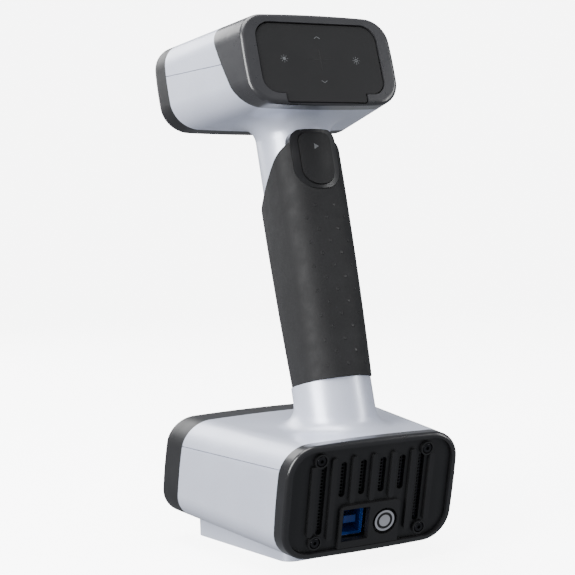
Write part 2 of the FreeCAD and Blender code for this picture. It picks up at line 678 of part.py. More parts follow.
# ---- base shells ----
necked = neckedHull(baseOuter, ("0 - neck_inside", "0 - grip_bottom - fit_gap"),
                    "lower_neck_radius", "lower_neck_fillet", number("base_front_z + base_front_half"))
neckBore = tallRod("handle", "neck_bore", ("0 - far_off / 2", "spigot_high + fit_gap"))
node("base_upper_shell", less(necked, baseInner, neckBore, baseFrontPart, baseRearPart, underBaseSeam))

bosses = []
bossHoles = []
for x in both("main_boss_x"):
    for y in ("main_boss_inset - main_board_front", "main_board_rear - main_boss_inset"):
        bosses.append(tallRod("table", "main_boss", ("boss_foot", "main_board_z"), x, y))
        bossHoles.append(tallRod("table", "screw_radius + screw_gap",
                                 ("boss_foot + shell_wall", "far_off"), x, y))
for x in both("foot_screw_x"):
    for y in ("0 - foot_screw_front", "foot_screw_rear"):
        bosses.append(tallRod("table", "foot_boss", ("boss_foot", "foot_boss_top"), x, y))
        bossHoles.append(tallRod("table", "foot_screw_radius + screw_gap",
                                 ("0", "foot_screw_top + screw_gap"), x, y))
fanBottom = "fan_middle - fan_half"
for x in both("rib_x"):
    bosses.append(block("base_rear", (f"{x} - shell_wall", f"{x} + shell_wall"),
                        ("fan_front", "fan_front + fan_thick"), ("rib_foot", fanBottom)))
lowerHull = less(baseOuter, baseInner, baseFrontPart, baseRearPart, overBaseSeam)
node("base_lower_shell", less(join(lowerHull, *bosses), *bossHoles))

# ---- foot plate, cut to the underside of the base ----
footBody = doc.addObject("PartDesign::Body", "FootBlock")
footSketch = newSketch(footBody, "XY_Plane")
rearWide, frontWide = number("foot_rear_width"), number("foot_front_width")
rearY, frontY = number("foot_rear_y"), number("foot_front_y")
corners = ((rearWide, rearY), (-rearWide, rearY), (-frontWide, -frontY), (frontWide, -frontY))
for place, corner in enumerate(corners):
    addLine(footSketch, corner, corners[(place + 1) % 4])
for place in range(4):
    footSketch.addConstraint(Sketcher.Constraint("Coincident", place, 2, (place + 1) % 4, 1))
drive(footSketch, (
    (Sketcher.Constraint("DistanceX", -1, 1, 0, 1, rearWide), "foot_rear_width"),
    (Sketcher.Constraint("DistanceX", 1, 1, -1, 1, rearWide), "foot_rear_width"),
    (Sketcher.Constraint("DistanceX", 2, 1, -1, 1, frontWide), "foot_front_width"),
    (Sketcher.Constraint("DistanceX", -1, 1, 3, 1, frontWide), "foot_front_width"),
    (Sketcher.Constraint("DistanceY", -1, 1, 0, 1, rearY), "foot_rear_y"),
    (Sketcher.Constraint("DistanceY", -1, 1, 1, 1, rearY), "foot_rear_y"),
    (Sketcher.Constraint("DistanceY", 2, 1, -1, 1, frontY), "foot_front_y"),
    (Sketcher.Constraint("DistanceY", 3, 1, -1, 1, frontY), "foot_front_y")))
footPad = footBody.newObject("PartDesign::Pad", "FootPad")
footPad.Profile = footSketch
bind(footPad, {"Length": "foot_height"})
doc.recompute()
upright = [f"Edge{place}" for place, edge in enumerate(footPad.Shape.Edges, 1)
           if edge.BoundBox.ZLength > number("foot_height") / 2]
footRound = footBody.newObject("PartDesign::Fillet", "FootRound")
footRound.Base = (footPad, upright)
bind(footRound, {"Radius": "foot_corner"})
footTools = [baseOuter]
footScrews = []
for x in both("foot_screw_x"):
    for y in ("0 - foot_screw_front", "foot_screw_rear"):
        footTools.append(tallRod("table", "foot_screw_radius + screw_gap", ("0", "far_off"), x, y))
        footTools.append(tallRod("table", "foot_screw_head + fit_gap", ("0", "foot_screw_seat"), x, y))
        head = tallRod("table", "foot_screw_head", ("foot_screw_seat - foot_screw_radius",
                                                    "foot_screw_seat"), x, y)
        shank = tallRod("table", "foot_screw_radius", ("foot_screw_seat - screw_gap",
                                                       "foot_screw_top"), x, y)
        footScrews.append(join(head, shank))
node("foot_plate", less(footBody, *footTools))
node("foot_screws", group(footScrews))

# ---- head shells ----
headNecked = neckedHull(headOuter, ("grip_cut_height - far_off / 4", "neck_top"),
                        "upper_neck_radius", "upper_neck_fillet",
                        number("head_front_z - head_front_half"))
spineBore = tallRod("handle", "spine_radius + fit_gap", both("far_off"))
node("head_lower_shell", less(headNecked, headInner, neckBore, spineBore, headFrontPart, headRearPart,
                              overHeadSeam, underGripCut, triggerRoom))
node("head_upper_shell", less(headOuter, headInner, headFrontPart, headRearPart, underHeadSeam))


# ---- optics of a block: bezel, window, chassis and what looks through the window ----
def screwIn(frame, x, s, seatDepth, length):
    head = deepRod(frame, "screw_head", (seatDepth, f"{seatDepth} + screw_head_thick"), x, s)
    shank = deepRod(frame, "screw_radius", (f"{seatDepth} - {length}", f"{seatDepth} + screw_gap"), x, s)
    return join(head, shank)


def frontOptics(part, outer, inner, holes):
    frame = f"{part}_front"
    wideText, highText = f"{part}_window_width", f"{part}_window_half"
    plateDepth = f"{part}_chassis_depth"
    halfWide, halfHigh = f"{part}_chassis_width", f"{part}_chassis_half"
    windowBack = "window_recess + window_thick"
    posts = [(x, s) for x in both(f"{halfWide} - post_inset") for s in both(f"{halfHigh} - post_drop")]
    # bezel
    slab = overlap(outer, block(frame, wide, ("0 - far_off / 8", f"{part}_bezel_depth"), wide))
    room = overlap(inner, block(frame, wide, ("face_thick", "far_off / 4"), wide))
    opening = plate("WindowRoom", frame, ("0 - far_off / 8", windowBack), (
        {"wide": wideText, "high": highText, "top": "window_corner", "low": "window_corner"},))
    through = plate("WindowThrough", frame, ("0", "face_thick + far_off / 8"), (
        {"wide": f"{wideText} - ledge_width", "high": f"{highText} - ledge_width",
         "top": "window_corner - ledge_width", "low": "window_corner - ledge_width"},))
    pegs = [deepRod(frame, "post_radius", ("face_thick - shell_wall / 2", plateDepth), x, s)
            for x, s in posts]
    pegHoles = [deepRod(frame, "screw_radius + screw_gap", ("face_thick", "far_off / 4"), x, s)
                for x, s in posts]
    bezel = less(slab, room, opening, through)
    pegBodies = [less(peg, opening, through) for peg in pegs]
    node(f"{part}_front_bezel", less(join(bezel, *pegBodies), *pegHoles))
    # window with its lens holes
    sheetBody = plate("Window", frame, ("window_recess", windowBack), (
        {"wide": f"{wideText} - fit_gap", "high": f"{highText} - fit_gap",
         "top": "window_corner - fit_gap", "low": "window_corner - fit_gap"},))
    eyes = [deepRod(frame, radius, both("far_off / 8"), x) for x, radius, barrel in holes]
    node(f"{part}_front_window", less(sheetBody, *eyes))
    # chassis
    panel = plate("Chassis", frame, (plateDepth, f"{plateDepth} + chassis_thick"), (
        {"wide": halfWide, "high": halfHigh, "top": "post_radius", "low": "post_radius"},))
    bores = [deepRod(frame, f"{barrel} + fit_gap", both("far_off / 4"), x)
             for x, radius, barrel in holes]
    screwHoles = [deepRod(frame, "screw_radius + screw_gap", both("far_off / 4"), x, s)
                  for x, s in posts]
    return posts, plateDepth, panel, bores + screwHoles


def barrel(frame, x, radius, bore, length, plateDepth, start="barrel_start"):
    tube = deepRod(frame, radius, (start, length), x)
    flange = deepRod(frame, f"{radius} + flange_wide", (f"{plateDepth} - flange_thick", plateDepth), x)
    hollow = deepRod(frame, bore, both("far_off / 4"), x)
    return less(join(tube, flange), hollow)


def lens(frame, x, radius):
    rod = deepRod(frame, f"{radius} - lens_gap", ("lens_depth", "lens_depth + lens_thick"), x)
    ball = doc.addObject("Part::Sphere", "LensBall")
    bind(ball, {"Radius": f"2 * {radius}"})
    seat(ball, frame, x, f"lens_depth + 2 * {radius}", "0")
    return overlap(rod, ball)


basePosts, baseDepth, basePanel, baseCuts = frontOptics("base", baseOuter, baseInner, (
    ("0", "projector_radius + 2 * lens_gap", "projector_radius"),
    ("base_camera_x", "led_hole_radius", "camera_radius"),
    ("0 - base_camera_x", "laser_radius + 2 * lens_gap", "laser_radius")))
node("base_chassis", less(basePanel, *baseCuts))
headPosts, headDepth, headPanel, headCuts = frontOptics("head", headOuter, headInner, (
    ("0 - head_camera_x", "texture_radius + 2 * lens_gap", "texture_radius"),
    ("head_camera_x", "led_hole_radius", "camera_radius"),
    ("0", "laser_radius + 2 * lens_gap", "laser_radius")))
boardPosts = [(x, s) for x in both("laser_radius + standoff_radius + 1")
              for s in both("head_board_half - standoff_radius")]
standoffs = [deepRod("head_front", "standoff_radius", ("head_chassis_depth", "head_board_depth"), x, s)
             for x, s in boardPosts]
node("head_chassis", less(join(headPanel, *standoffs), *headCuts))
node("head_board", block("head_front", both("head_board_width"),
                         ("head_board_depth", "head_board_depth + board_thick"),
                         both("head_board_half")))

node("projector_barrel", barrel("base_front", "0", "projector_radius", "projector_bore",
                                "projector_length", "base_chassis_depth"))
node("projector_lens", lens("base_front", "0", "projector_bore"))
node("projector_engine", block("base_front", both("projector_box_width"),
                               ("projector_length", "projector_length + projector_box_length"),
                               both("projector_box_half")))
node("texture_camera_barrel", barrel("head_front", "0 - head_camera_x", "texture_radius",
                                     "texture_bore", "camera_length", "head_chassis_depth"))
node("texture_camera_lens", lens("head_front", "0 - head_camera_x", "texture_bore"))
node("texture_camera_board", block(
    "head_front", ("0 - head_camera_x - texture_board_half", "texture_board_half - head_camera_x"),
    ("camera_length", "camera_length + board_thick"), both("texture_board_half")))

cameras = (("base_front", "base_camera_x", "base_chassis_depth"),
           ("head_front", "head_camera_x", "head_chassis_depth"))
node("stereo_camera_barrels", group([
    barrel(frame, x, "camera_radius", "camera_bore", "camera_length", depth)
    for frame, x, depth in cameras]))
node("stereo_camera_lenses", group([lens(frame, x, "camera_bore") for frame, x, depth in cameras]))
node("stereo_camera_boards", group([
    block(frame, (f"{x} - camera_board_half", f"{x} + camera_board_half"),
          ("camera_length", "camera_length + board_thick"), both("camera_board_half"))
    for frame, x, depth in cameras]))
ledBack = "window_recess + window_thick"
node("light_ring_boards", group([
    less(deepRod(frame, "led_board_radius", (ledBack, f"{ledBack} + board_thick"), x),
         deepRod(frame, "camera_radius + fit_gap", both("far_off / 4"), x))
    for frame, x, depth in cameras]))
ledCount = 12
lights = []
for frame, x, depth in cameras:
    for place in range(ledCount):
        turn = f"{place} * 360 / {ledCount}"
        lights.append(deepRod(frame, "led_radius", (f"{ledBack} - led_stands", ledBack),
                              f"{x} + led_circle * cos({turn})", f"led_circle * sin({turn})"))
node("light_ring_leds", group(lights))
lasers = (("base_front", "0 - base_camera_x", "base_chassis_depth"),
          ("head_front", "0", "head_chassis_depth"))
node("line_laser_barrels", group([
    barrel(frame, x, "laser_radius", "laser_bore", "camera_length", depth)
    for frame, x, depth in lasers]))
node("line_laser_lenses", group([lens(frame, x, "laser_bore") for frame, x, depth in lasers]))
chassisScrews = []
for frame, posts, depth in (("base_front", basePosts, baseDepth), ("head_front", headPosts, headDepth)):
    for x, s in posts:
        chassisScrews.append(screwIn(frame, x, s, f"{depth} + chassis_thick", "2.4 * chassis_thick"))
node("chassis_screws", group(chassisScrews))

# ---- rear of the base: bezel, vent panel, mesh, ports ----
rearSlab = overlap(baseOuter, baseRearPart)
panelSeat = "panel_face - panel_thick"
portBack = "usb_z - usb_half_height"
rearOpening = plate("PanelRoom", "base_rear", (panelSeat, "far_off / 8"), (
    {"z": "panel_shift", "wide": "panel_half_width", "high": "panel_half_height",
     "top": "panel_corner", "low": "panel_corner"},))
ventThrough = block("base_rear", both("vent_back_width"), both("far_off / 8"),
                    ("vent_back_low", "vent_back_high"))
portThrough = block("base_rear", both("block_half_width - usb_wall"), both("far_off / 8"),
                    (f"{portBack} - usb_wall", "0"))
panelScrewSpots = [(x, s) for x in both("screw_x") for s in ("screw_top", "screw_low")]
rearScrewHoles = [deepRod("base_rear", "screw_radius + screw_gap", both("far_off / 8"), x, s)
                  for x, s in panelScrewSpots]
node("base_rear_bezel", less(rearSlab, rearOpening, ventThrough, portThrough, *rearScrewHoles))


def bar(x, width, low, high):
    return {"x": x, "z": f"(({low}) + ({high})) / 2", "wide": f"{width} / 2",
            "high": f"(({high}) - ({low})) / 2", "top": f"0.49 * {width}", "low": f"0.49 * {width}"}


ribs = []
slots = []
for step, low, high in ((0, "short_rib_low", "rib_high"), (2, "short_rib_low", "rib_high"),
                        (4, "long_rib_low", "rib_high"), (6, "long_slot_low", "long_slot_high")):
    for side in ((1,) if step == 0 else (1, -1)):
        ribs.append(bar(f"{side * step} * vent_pitch", "rib_width", low, high))
for step, low, high in ((1, "short_slot_low", "short_slot_high"), (3, "short_slot_low", "short_slot_high"),
                        (5, "long_slot_low", "long_slot_high")):
    for side in (1, -1):
        slots.append(bar(f"{side * step} * vent_pitch", "slot_width", low, high))
for rib in ribs:
    rib["depths"] = ("panel_face", "panel_face + rib_stands")
for slot in slots:
    slot["depths"] = ("0", "2 * panel_face")
    slot["cut"] = True
blockHalf = "(block_top - panel_shift + panel_half_height - fit_gap) / 2"
portBlock = {"z": f"block_top - {blockHalf}", "wide": "block_half_width", "high": blockHalf,
             "top": "rib_width", "low": "fit_gap", "depths": (panelSeat, "base_rim_depth - fit_gap")}
panelPlate = {"z": "panel_shift", "wide": "panel_half_width - fit_gap",
              "high": "panel_half_height - fit_gap", "top": "panel_corner - fit_gap",
              "low": "panel_corner - fit_gap"}
ventBody = plate("VentPanel", "base_rear", (panelSeat, "panel_face"),
                 [panelPlate] + ribs + [portBlock] + slots)
screwBosses = [deepRod("base_rear", "screw_boss", ("panel_face - fit_gap", "panel_face + rib_stands"), x, s)
               for x, s in panelScrewSpots]
bossRecesses = [deepRod("base_rear", "screw_head + 2 * fit_gap",
                        ("panel_face - fit_gap", "far_off / 8"), x, s)
                for x, s in panelScrewSpots]
usbRoom = block("base_rear", ("usb_x - usb_half_width - fit_gap", "usb_x + usb_half_width + fit_gap"),
                both("far_off / 8"), (f"{portBack} - fit_gap", "usb_z + usb_half_height + fit_gap"))
socketRoom = deepRod("base_rear", "socket_recess", (panelSeat + " + fit_gap", "far_off / 8"),
                     "0 - socket_x", "socket_z")
socketHole = deepRod("base_rear", "socket_radius + fit_gap", both("far_off / 8"),
                     "0 - socket_x", "socket_z")
insideOpening = plate("PanelTrim", "base_rear", ("0", "far_off / 8"), (panelPlate,))
node("vent_panel", less(overlap(join(ventBody, *screwBosses), insideOpening), *bossRecesses,
                        *rearScrewHoles, usbRoom, socketRoom, socketHole))
meshPlate = block("base_rear", both("vent_back_width - fit_gap"),
                  (f"{panelSeat} - mesh_thick", panelSeat),
                  ("vent_back_low + fit_gap", "vent_back_high - fit_gap"))
meshNotch = block("base_rear", both("block_half_width + fit_gap"), both("far_off / 8"),
                  ("0 - far_off / 4", "block_top + rib_width / 4"))
node("vent_mesh", less(meshPlate, meshNotch))
node("panel_screws", group([
    screwIn("base_rear", x, s, "panel_face - fit_gap", "1.8 * panel_thick") for x, s in panelScrewSpots]))

portFace = "base_rim_depth - fit_gap - usb_face_drop"
shellBlock = block("base_rear", ("usb_x - usb_half_width", "usb_x + usb_half_width"),
                   ("usb_back", portFace), (portBack, "usb_z + usb_half_height"))
shellRoom = block("base_rear", ("usb_x - usb_half_width + usb_wall", "usb_x + usb_half_width - usb_wall"),
                  ("usb_back - fit_gap", "far_off / 8"),
                  (f"{portBack} + usb_wall", "usb_z + usb_half_height - usb_wall"))
node("usb_port_shell", less(shellBlock, shellRoom))
insertBlock = block("base_rear", ("usb_x - usb_half_width + usb_wall", "usb_x + usb_half_width - usb_wall"),
                    ("usb_back", f"{portFace} - fit_gap"),
                    (f"{portBack} + usb_wall", "usb_z + usb_half_height - usb_wall"))
plugRoom = block("base_rear", ("usb_x - usb_cavity_width", "usb_x + usb_cavity_width"),
                 (f"{portFace} - usb_cavity_deep", "far_off / 8"),
                 ("usb_z - usb_cavity_half", "usb_z + usb_cavity_half"))
tongue = block("base_rear", ("usb_x - usb_tongue_width", "usb_x + usb_tongue_width"),
               (f"{portFace} - usb_cavity_deep - fit_gap", f"{portFace} - usb_tongue_back"),
               ("usb_z - usb_tongue_half", "usb_z + usb_tongue_half"))
node("usb_port_insert", join(less(insertBlock, plugRoom), tongue))

ringFace = "base_rim_depth - fit_gap - port_face_drop"
socketAt = ("0 - socket_x", "socket_z")
node("power_socket_ring", less(
    deepRod("base_rear", "socket_radius", ("socket_back", ringFace), *socketAt),
    deepRod("base_rear", "socket_inner", both("far_off / 8"), *socketAt)))
node("power_socket_insulator", less(
    deepRod("base_rear", "socket_inner", ("socket_back", f"{ringFace} - 2 * port_face_drop"), *socketAt),
    deepRod("base_rear", "socket_pin", both("far_off / 8"), *socketAt)))
node("power_socket_pin", deepRod("base_rear", "socket_pin", ("socket_back", ringFace), *socketAt))
# the board steps back from the power socket, and carries it on a spacer
portBoard = block("base_rear", both("block_half_width"),
                  ("usb_back - port_board_thick", "usb_back"), (portBack, "block_top"))
spacer = deepRod("base_rear", "socket_radius", ("usb_back - fit_gap", "socket_back"), *socketAt)
node("port_board", join(portBoard, spacer))

# ---- electronics in the base ----
boardTop = "main_board_z + board_thick"
mainSpots = [(x, y) for x in both("main_boss_x")
             for y in ("main_boss_inset - main_board_front", "main_board_rear - main_boss_inset")]
node("main_board", less(
    block("table", both("main_board_width"), ("0 - main_board_front", "main_board_rear"),
          ("main_board_z", boardTop)),
    *[tallRod("table", "screw_radius + screw_gap", ("0", "far_off / 4"), x, y) for x, y in mainSpots]))
boardScrews = []
for x, y in mainSpots:
    head = tallRod("table", "screw_head", (boardTop, f"{boardTop} + screw_head_thick"), x, y)
    shank = tallRod("table", "screw_radius", (f"{boardTop} - 2 * chassis_thick", f"{boardTop} + screw_gap"),
                    x, y)
    boardScrews.append(join(head, shank))
node("board_screws", group(boardScrews))
sinkX = ("heatsink_x - heatsink_half", "heatsink_x + heatsink_half")
finParts = [block("table", sinkX, both("heatsink_half"), (boardTop, f"{boardTop} + heatsink_base"))]
finCount = int(number("fin_count"))
for place in range(finCount):
    start = f"heatsink_x - heatsink_half + {place} * (2 * heatsink_half - fin_thick) / ({finCount} - 1)"
    finParts.append(block("table", (start, f"{start} + fin_thick"), both("heatsink_half"),
                          (boardTop, f"{boardTop} + heatsink_height")))
node("heatsink", join(*finParts))

fanBack = "fan_front + fan_thick"
fanShell = block("base_rear", both("fan_half"), ("fan_front", fanBack),
                 ("fan_middle - fan_half", "fan_middle + fan_half"))
duct = deepRod("base_rear", "fan_bore", both("far_off / 4"), "0", "fan_middle")
web = overlap(
    join(deepRod("base_rear", "fan_hub", ("fan_front", "fan_front + fan_plate"), "0", "fan_middle"),
         block("base_rear", both("fan_bore + fan_axle"), ("fan_front", "fan_front + fan_plate"),
               ("fan_middle - fan_axle", "fan_middle + fan_axle")),
         block("base_rear", both("fan_axle"), ("fan_front", "fan_front + fan_plate"),
               ("fan_middle - fan_bore - fan_axle", "fan_middle + fan_bore + fan_axle"))),
    fanShell)
axleHole = deepRod("base_rear", "fan_axle + pin_gap", both("far_off / 4"), "0", "fan_middle")
node("fan_frame", less(join(less(fanShell, duct), web), axleHole))
rotorFront = "fan_front + fan_plate + 4 * fit_gap"
rotorBack = f"{fanBack} - 4 * fit_gap"
rotorParts = [deepRod("base_rear", "fan_hub", (rotorFront, rotorBack), "0", "fan_middle"),
              deepRod("base_rear", "fan_axle", ("fan_front + fit_gap", rotorFront), "0", "fan_middle")]
bladeCount = int(number("fan_blades"))
for place in range(bladeCount):
    blade = doc.addObject("Part::Box", "Blade")
    bind(blade, {"Length": "fan_tip", "Width": "fan_thick", "Height": "fin_thick"})
    # each blade starts in the hub, is pitched about its length and turned about the axle
    pitch = FreeCAD.Rotation(vec(1, 0, 0), number("fan_pitch"))
    turn = FreeCAD.Rotation(vec(0, 1, 0), place * 360 / bladeCount)
    tip = FreeCAD.Rotation(aboutX, -number("base_rear_tilt"))
    rotation = tip.multiply(turn).multiply(pitch)
    y, z = spot("base_rear", "fan_front + fan_thick / 2", "fan_middle")
    centre = vec(0, number(y), number(z))
    local = vec(0, -number("fan_thick") / 2, -number("fin_thick") / 2)
    blade.Placement = FreeCAD.Placement(centre + rotation.multVec(local), rotation)
    rotorParts.append(blade)
sweep = less(deepRod("base_rear", "fan_tip", (rotorFront, rotorBack), "0", "fan_middle"),
             deepRod("base_rear", "fan_axle", both("far_off / 4"), "0", "fan_middle"))
blades = overlap(join(*rotorParts[2:]), sweep)
node("fan_rotor", join(rotorParts[0], rotorParts[1], blades))

# ---- harness cable in the handle, on straight runs and tangent arcs ----
plugTop = f"{boardTop} + plug_height"
start = vec(0, number("plug_y"), number(plugTop))
axisY, axisZ = spot("handle", "0", "0 - cable_bend")
topY, topZ = spot("handle", "0", "cable_top")
bend = vec(0, number(axisY), number(axisZ))
end = vec(0, number(topY), number(topZ))
rise = vec(start.x, start.y, start.z + (bend.z - start.z) / 2)


def tangentPath(points):
    edges = []
    here = points[0]
    for before, point, after in zip(points, points[1:], points[2:]):
        inward, outward = (point - before), (after - point)
        turn = inward.getAngle(outward)
        radius = 0.45 * min(inward.Length, outward.Length) / math.tan(turn / 2)
        trim = radius * math.tan(turn / 2)
        inward.normalize()
        outward.normalize()
        first, last = point - inward * trim, point + outward * trim
        towards = (outward - inward).normalize()
        middle = point + towards * (radius / math.cos(turn / 2) - radius)
        edges.append(Part.LineSegment(here, first).toShape())
        edges.append(Part.Arc(first, middle, last).toShape())
        here = last
        print("cable arc radius", round(radius, 1))
    edges.append(Part.LineSegment(here, points[-1]).toShape())
    return Part.Wire(edges)


path = tangentPath([start, rise, bend, end])
profile = Part.Wire([Part.Circle(start, vec(0, 0, 1), number("cable_radius")).toShape()])
cable = doc.addObject("Part::Feature", "HarnessCable")
cable.Shape = path.makePipeShell([profile], True, False)
expected = math.pi * number("cable_radius") ** 2 * path.Length
print("cable volume", round(cable.Shape.Volume, 1), "section times length", round(expected, 1))
node("harness_cable", cable)
headPlugDepth = "head_board_depth - plug_height"
node("harness_plugs", group([
    block("table", both("plug_half"), ("plug_y - plug_depth", "plug_y + plug_depth"), (boardTop, plugTop)),
    block("head_front", both("plug_half"), (headPlugDepth, "head_board_depth"),
          ("0 - head_board_half + standoff_radius", "0 - head_board_half + 2 * plug_height"))]))


# ---- handle: tube, core halves and rubber sleeve ----
def gripLoft(name, thin):
    body = doc.addObject("PartDesign::Body", name)
    rows = (("0 - grip_bottom", "grip_low_width", "grip_low_depth", "grip_low_corner"),
            ("grip_middle", "grip_mid_width", "grip_mid_depth", "grip_high_corner"),
            ("grip_top", "grip_high_width", "grip_high_depth", "grip_high_corner"))
    sketches = []
    for height, halfWide, halfDeep, corner in rows:
        sketch = newSketch(body, "XY_Plane", {"y": "grip_shift", "z": height})
        crownedOutline(sketch, f"{halfWide} - {thin}", f"{halfDeep} - {thin}", "grip_rise", "grip_rise",
                       f"{corner} - {thin}")
        sketches.append(sketch)
    loft = body.newObject("PartDesign::AdditiveLoft", "Loft")
    loft.Profile = sketches[0]
    loft.Sections = sketches[1:]
    return seat(body, "handle")


gripOuter = gripLoft("GripOuter", "0")
gripInner = gripLoft("GripInner", "rubber_wall")
sleeve = less(gripOuter, gripInner, overGripCut, triggerRoom)
node("grip_sleeve", sleeve)
spigots = [tallRod("handle", "neck_bore - fit_gap", span)
           for span in (("0 - spigot_low", "0 - grip_bottom"), ("spigot_start", "spigot_high"))]
core = less(join(less(gripInner, overGripCut), *spigots), spineBore, triggerRoom)
leftSide = block("handle", ("0 - far_off", "0"), wide, wide)
rightSide = block("handle", ("0", "far_off"), wide, wide)
node("grip_core_left", less(core, rightSide))
node("grip_core_right", less(core, leftSide))
node("spine_tube", less(tallRod("handle", "spine_radius", ("0 - spine_low", "spine_high")),
                        tallRod("handle", "spine_radius - spine_wall", both("far_off"))))

# ---- trigger: collar, button, switch ----
buttonShape = {"z": "trigger_height", "wide": "button_half_width", "high": "button_half_length",
               "top": "button_top_corner", "low": "button_low_corner"}
buttonRoom = dict(buttonShape, wide="button_half_width + 2 * fit_gap",
                  high="button_half_length + 2 * fit_gap", top="button_top_corner + 2 * fit_gap",
                  low="button_low_corner + 2 * fit_gap")
buttonBottom = "collar_face + button_stands - button_depth"
ledge = f"{buttonBottom} - button_travel - fit_gap"
buttonRoom["depths"] = (ledge, "2 * collar_face")
buttonRoom["cut"] = True
switchRoom = {"z": "trigger_height", "wide": "switch_size - fit_gap", "high": "1.4 * switch_size",
              "top": "2 * fit_gap", "low": "2 * fit_gap", "depths": ("0", "collar_face"), "cut": True}
collarBody = plate("Collar", "handle", ("collar_floor", "collar_face"),
                   (triggerShape, buttonRoom, switchRoom))
collarCrown = tallRod("handle", "collar_crown", both("far_off"), "0", "collar_face - collar_crown")
node("trigger_collar", overlap(collarBody, collarCrown))
buttonBody = plate("Button", "handle", (buttonBottom, "collar_face + button_stands"), (buttonShape,))
buttonCrown = tallRod("handle", "collar_crown", both("far_off"), "0",
                      "collar_face + button_stands - collar_crown")
node("trigger_button", overlap(buttonBody, buttonCrown))
boardBack = "collar_floor + trigger_board_thick"
switchTop = f"{boardBack} + switch_body"
node("trigger_board", block("handle", both("switch_size - 2 * fit_gap"), ("collar_floor", boardBack),
                            ("trigger_height - 1.4 * switch_size + fit_gap",
                             "trigger_height + 1.4 * switch_size - fit_gap")))
plungerBack = f"{boardBack} + button_travel + 2 * fit_gap"
switchBlock = block("handle", both("switch_size / 2"), (boardBack, switchTop),
                    ("trigger_height - switch_size / 2", "trigger_height + switch_size / 2"))
node("trigger_switch", less(switchBlock, deepRod(
    "handle", "plunger_radius + pin_gap", (f"{boardBack} + fit_gap", "2 * collar_face"),
    "0", "trigger_height")))
node("trigger_plunger", deepRod("handle", "plunger_radius", (plungerBack, f"{buttonBottom} - fit_gap / 3"),
                                "0", "trigger_height"))

# ---- head rear: bezel, rocking control pad and its switches ----
padBack = "pad_face - pad_thick"


def padOutlines(grow, depths, cut=False):
    upperHalf = "(pad_top - pad_shoulder) / 2"
    tabHalf = "(pad_shoulder - pad_bottom) / 2 + pad_low_corner"
    common = {"depths": depths, "cut": cut}
    main = dict(common, z="(pad_top + pad_shoulder) / 2", wide=f"pad_half_width + {grow}",
                high=f"{upperHalf} + {grow}", top=f"pad_top_corner + {grow}",
                low=f"pad_low_corner + {grow}")
    tab = dict(common, z=f"pad_bottom + {tabHalf}", wide=f"pad_tab_width + {grow}",
               high=f"{tabHalf} + {grow}", top=f"pad_tab_corner + {grow}", low=f"pad_tab_corner + {grow}")
    return main, tab


rimSlab = overlap(headOuter, headRearPart)
rimFaceBack = "pad_face - pad_thick - fit_gap"
rimRoom = overlap(headInner, block("head_rear", wide, ("0 - far_off / 2", rimFaceBack), wide))
padOpening = plate("PadRoom", "head_rear", ("0", "0"),
                   padOutlines("pad_gap", ("0", "far_off / 8")))
traySpots = [(x, s) for x in both("tray_post_x")
             for s in ("pad_middle + tray_post_z", "pad_middle - tray_post_z")]
trayPosts = [overlap(headOuter, deepRod("head_rear", "tray_post",
                                       ("tray_front", f"{rimFaceBack} + fit_gap"), x, s))
             for x, s in traySpots]
node("head_rear_bezel", join(less(rimSlab, rimRoom, padOpening), *trayPosts))

padBody = plate("PadPlate", "head_rear", ("0", "0"), padOutlines("0", (padBack, "pad_face")))
keySpots = [(x, "pad_middle") for x in both("key_x")]
keySpots += [("0", f"pad_middle + {s}") for s in both("key_z")]
keyFoot = "tray_front + pad_board_thick"
keyTop = f"{keyFoot} + key_height"
padPosts = [deepRod("head_rear", "key_post", (f"{keyTop} + key_gap", f"{padBack} + fit_gap"), x, s)
            for x, s in keySpots]
innerHigh = "carrier_half_height - carrier_bar"
lugs = []
for sign in (1, -1):
    near, far = "lug_low", f"{innerHigh} - lug_gap"
    pinEnd = "carrier_half_height - lug_gap"
    span = (near, far) if sign == 1 else (f"0 - ({far})", f"0 - ({near})")
    pinSpan = (near, pinEnd) if sign == 1 else (f"0 - ({pinEnd})", f"0 - ({near})")
    lugs.append(block("head_rear", both("lug_half"),
                      ("pivot_depth - carrier_half_thick", f"{padBack} + fit_gap"),
                      tuple(f"pad_middle + {edge}" for edge in span)))
    lugs.append(tallRod("head_rear", "pivot_radius", tuple(f"pad_middle + {edge}" for edge in pinSpan),
                        "0", "pivot_depth"))
node("control_pad", join(padBody, *padPosts, *lugs))

carrierDepths = ("pivot_depth - carrier_half_thick", "pivot_depth + carrier_half_thick")
carrierFrame = less(
    block("head_rear", both("carrier_half_width"), carrierDepths,
          ("pad_middle - carrier_half_height", "pad_middle + carrier_half_height")),
    block("head_rear", both("carrier_half_width - carrier_bar"), both("far_off / 8"),
          (f"pad_middle - ({innerHigh})", f"pad_middle + ({innerHigh})")),
    tallRod("head_rear", "pivot_radius + pin_gap", both("far_off / 8"), "0", "pivot_depth"))
outerPins = [crossRod("head_rear", "pivot_radius", span, "pivot_depth", "pad_middle") for span in (
    ("carrier_half_width - carrier_bar", "carrier_half_width + pivot_length"),
    ("0 - carrier_half_width - pivot_length", "carrier_bar - carrier_half_width"))]
node("pad_carrier", join(carrierFrame, *outerPins))

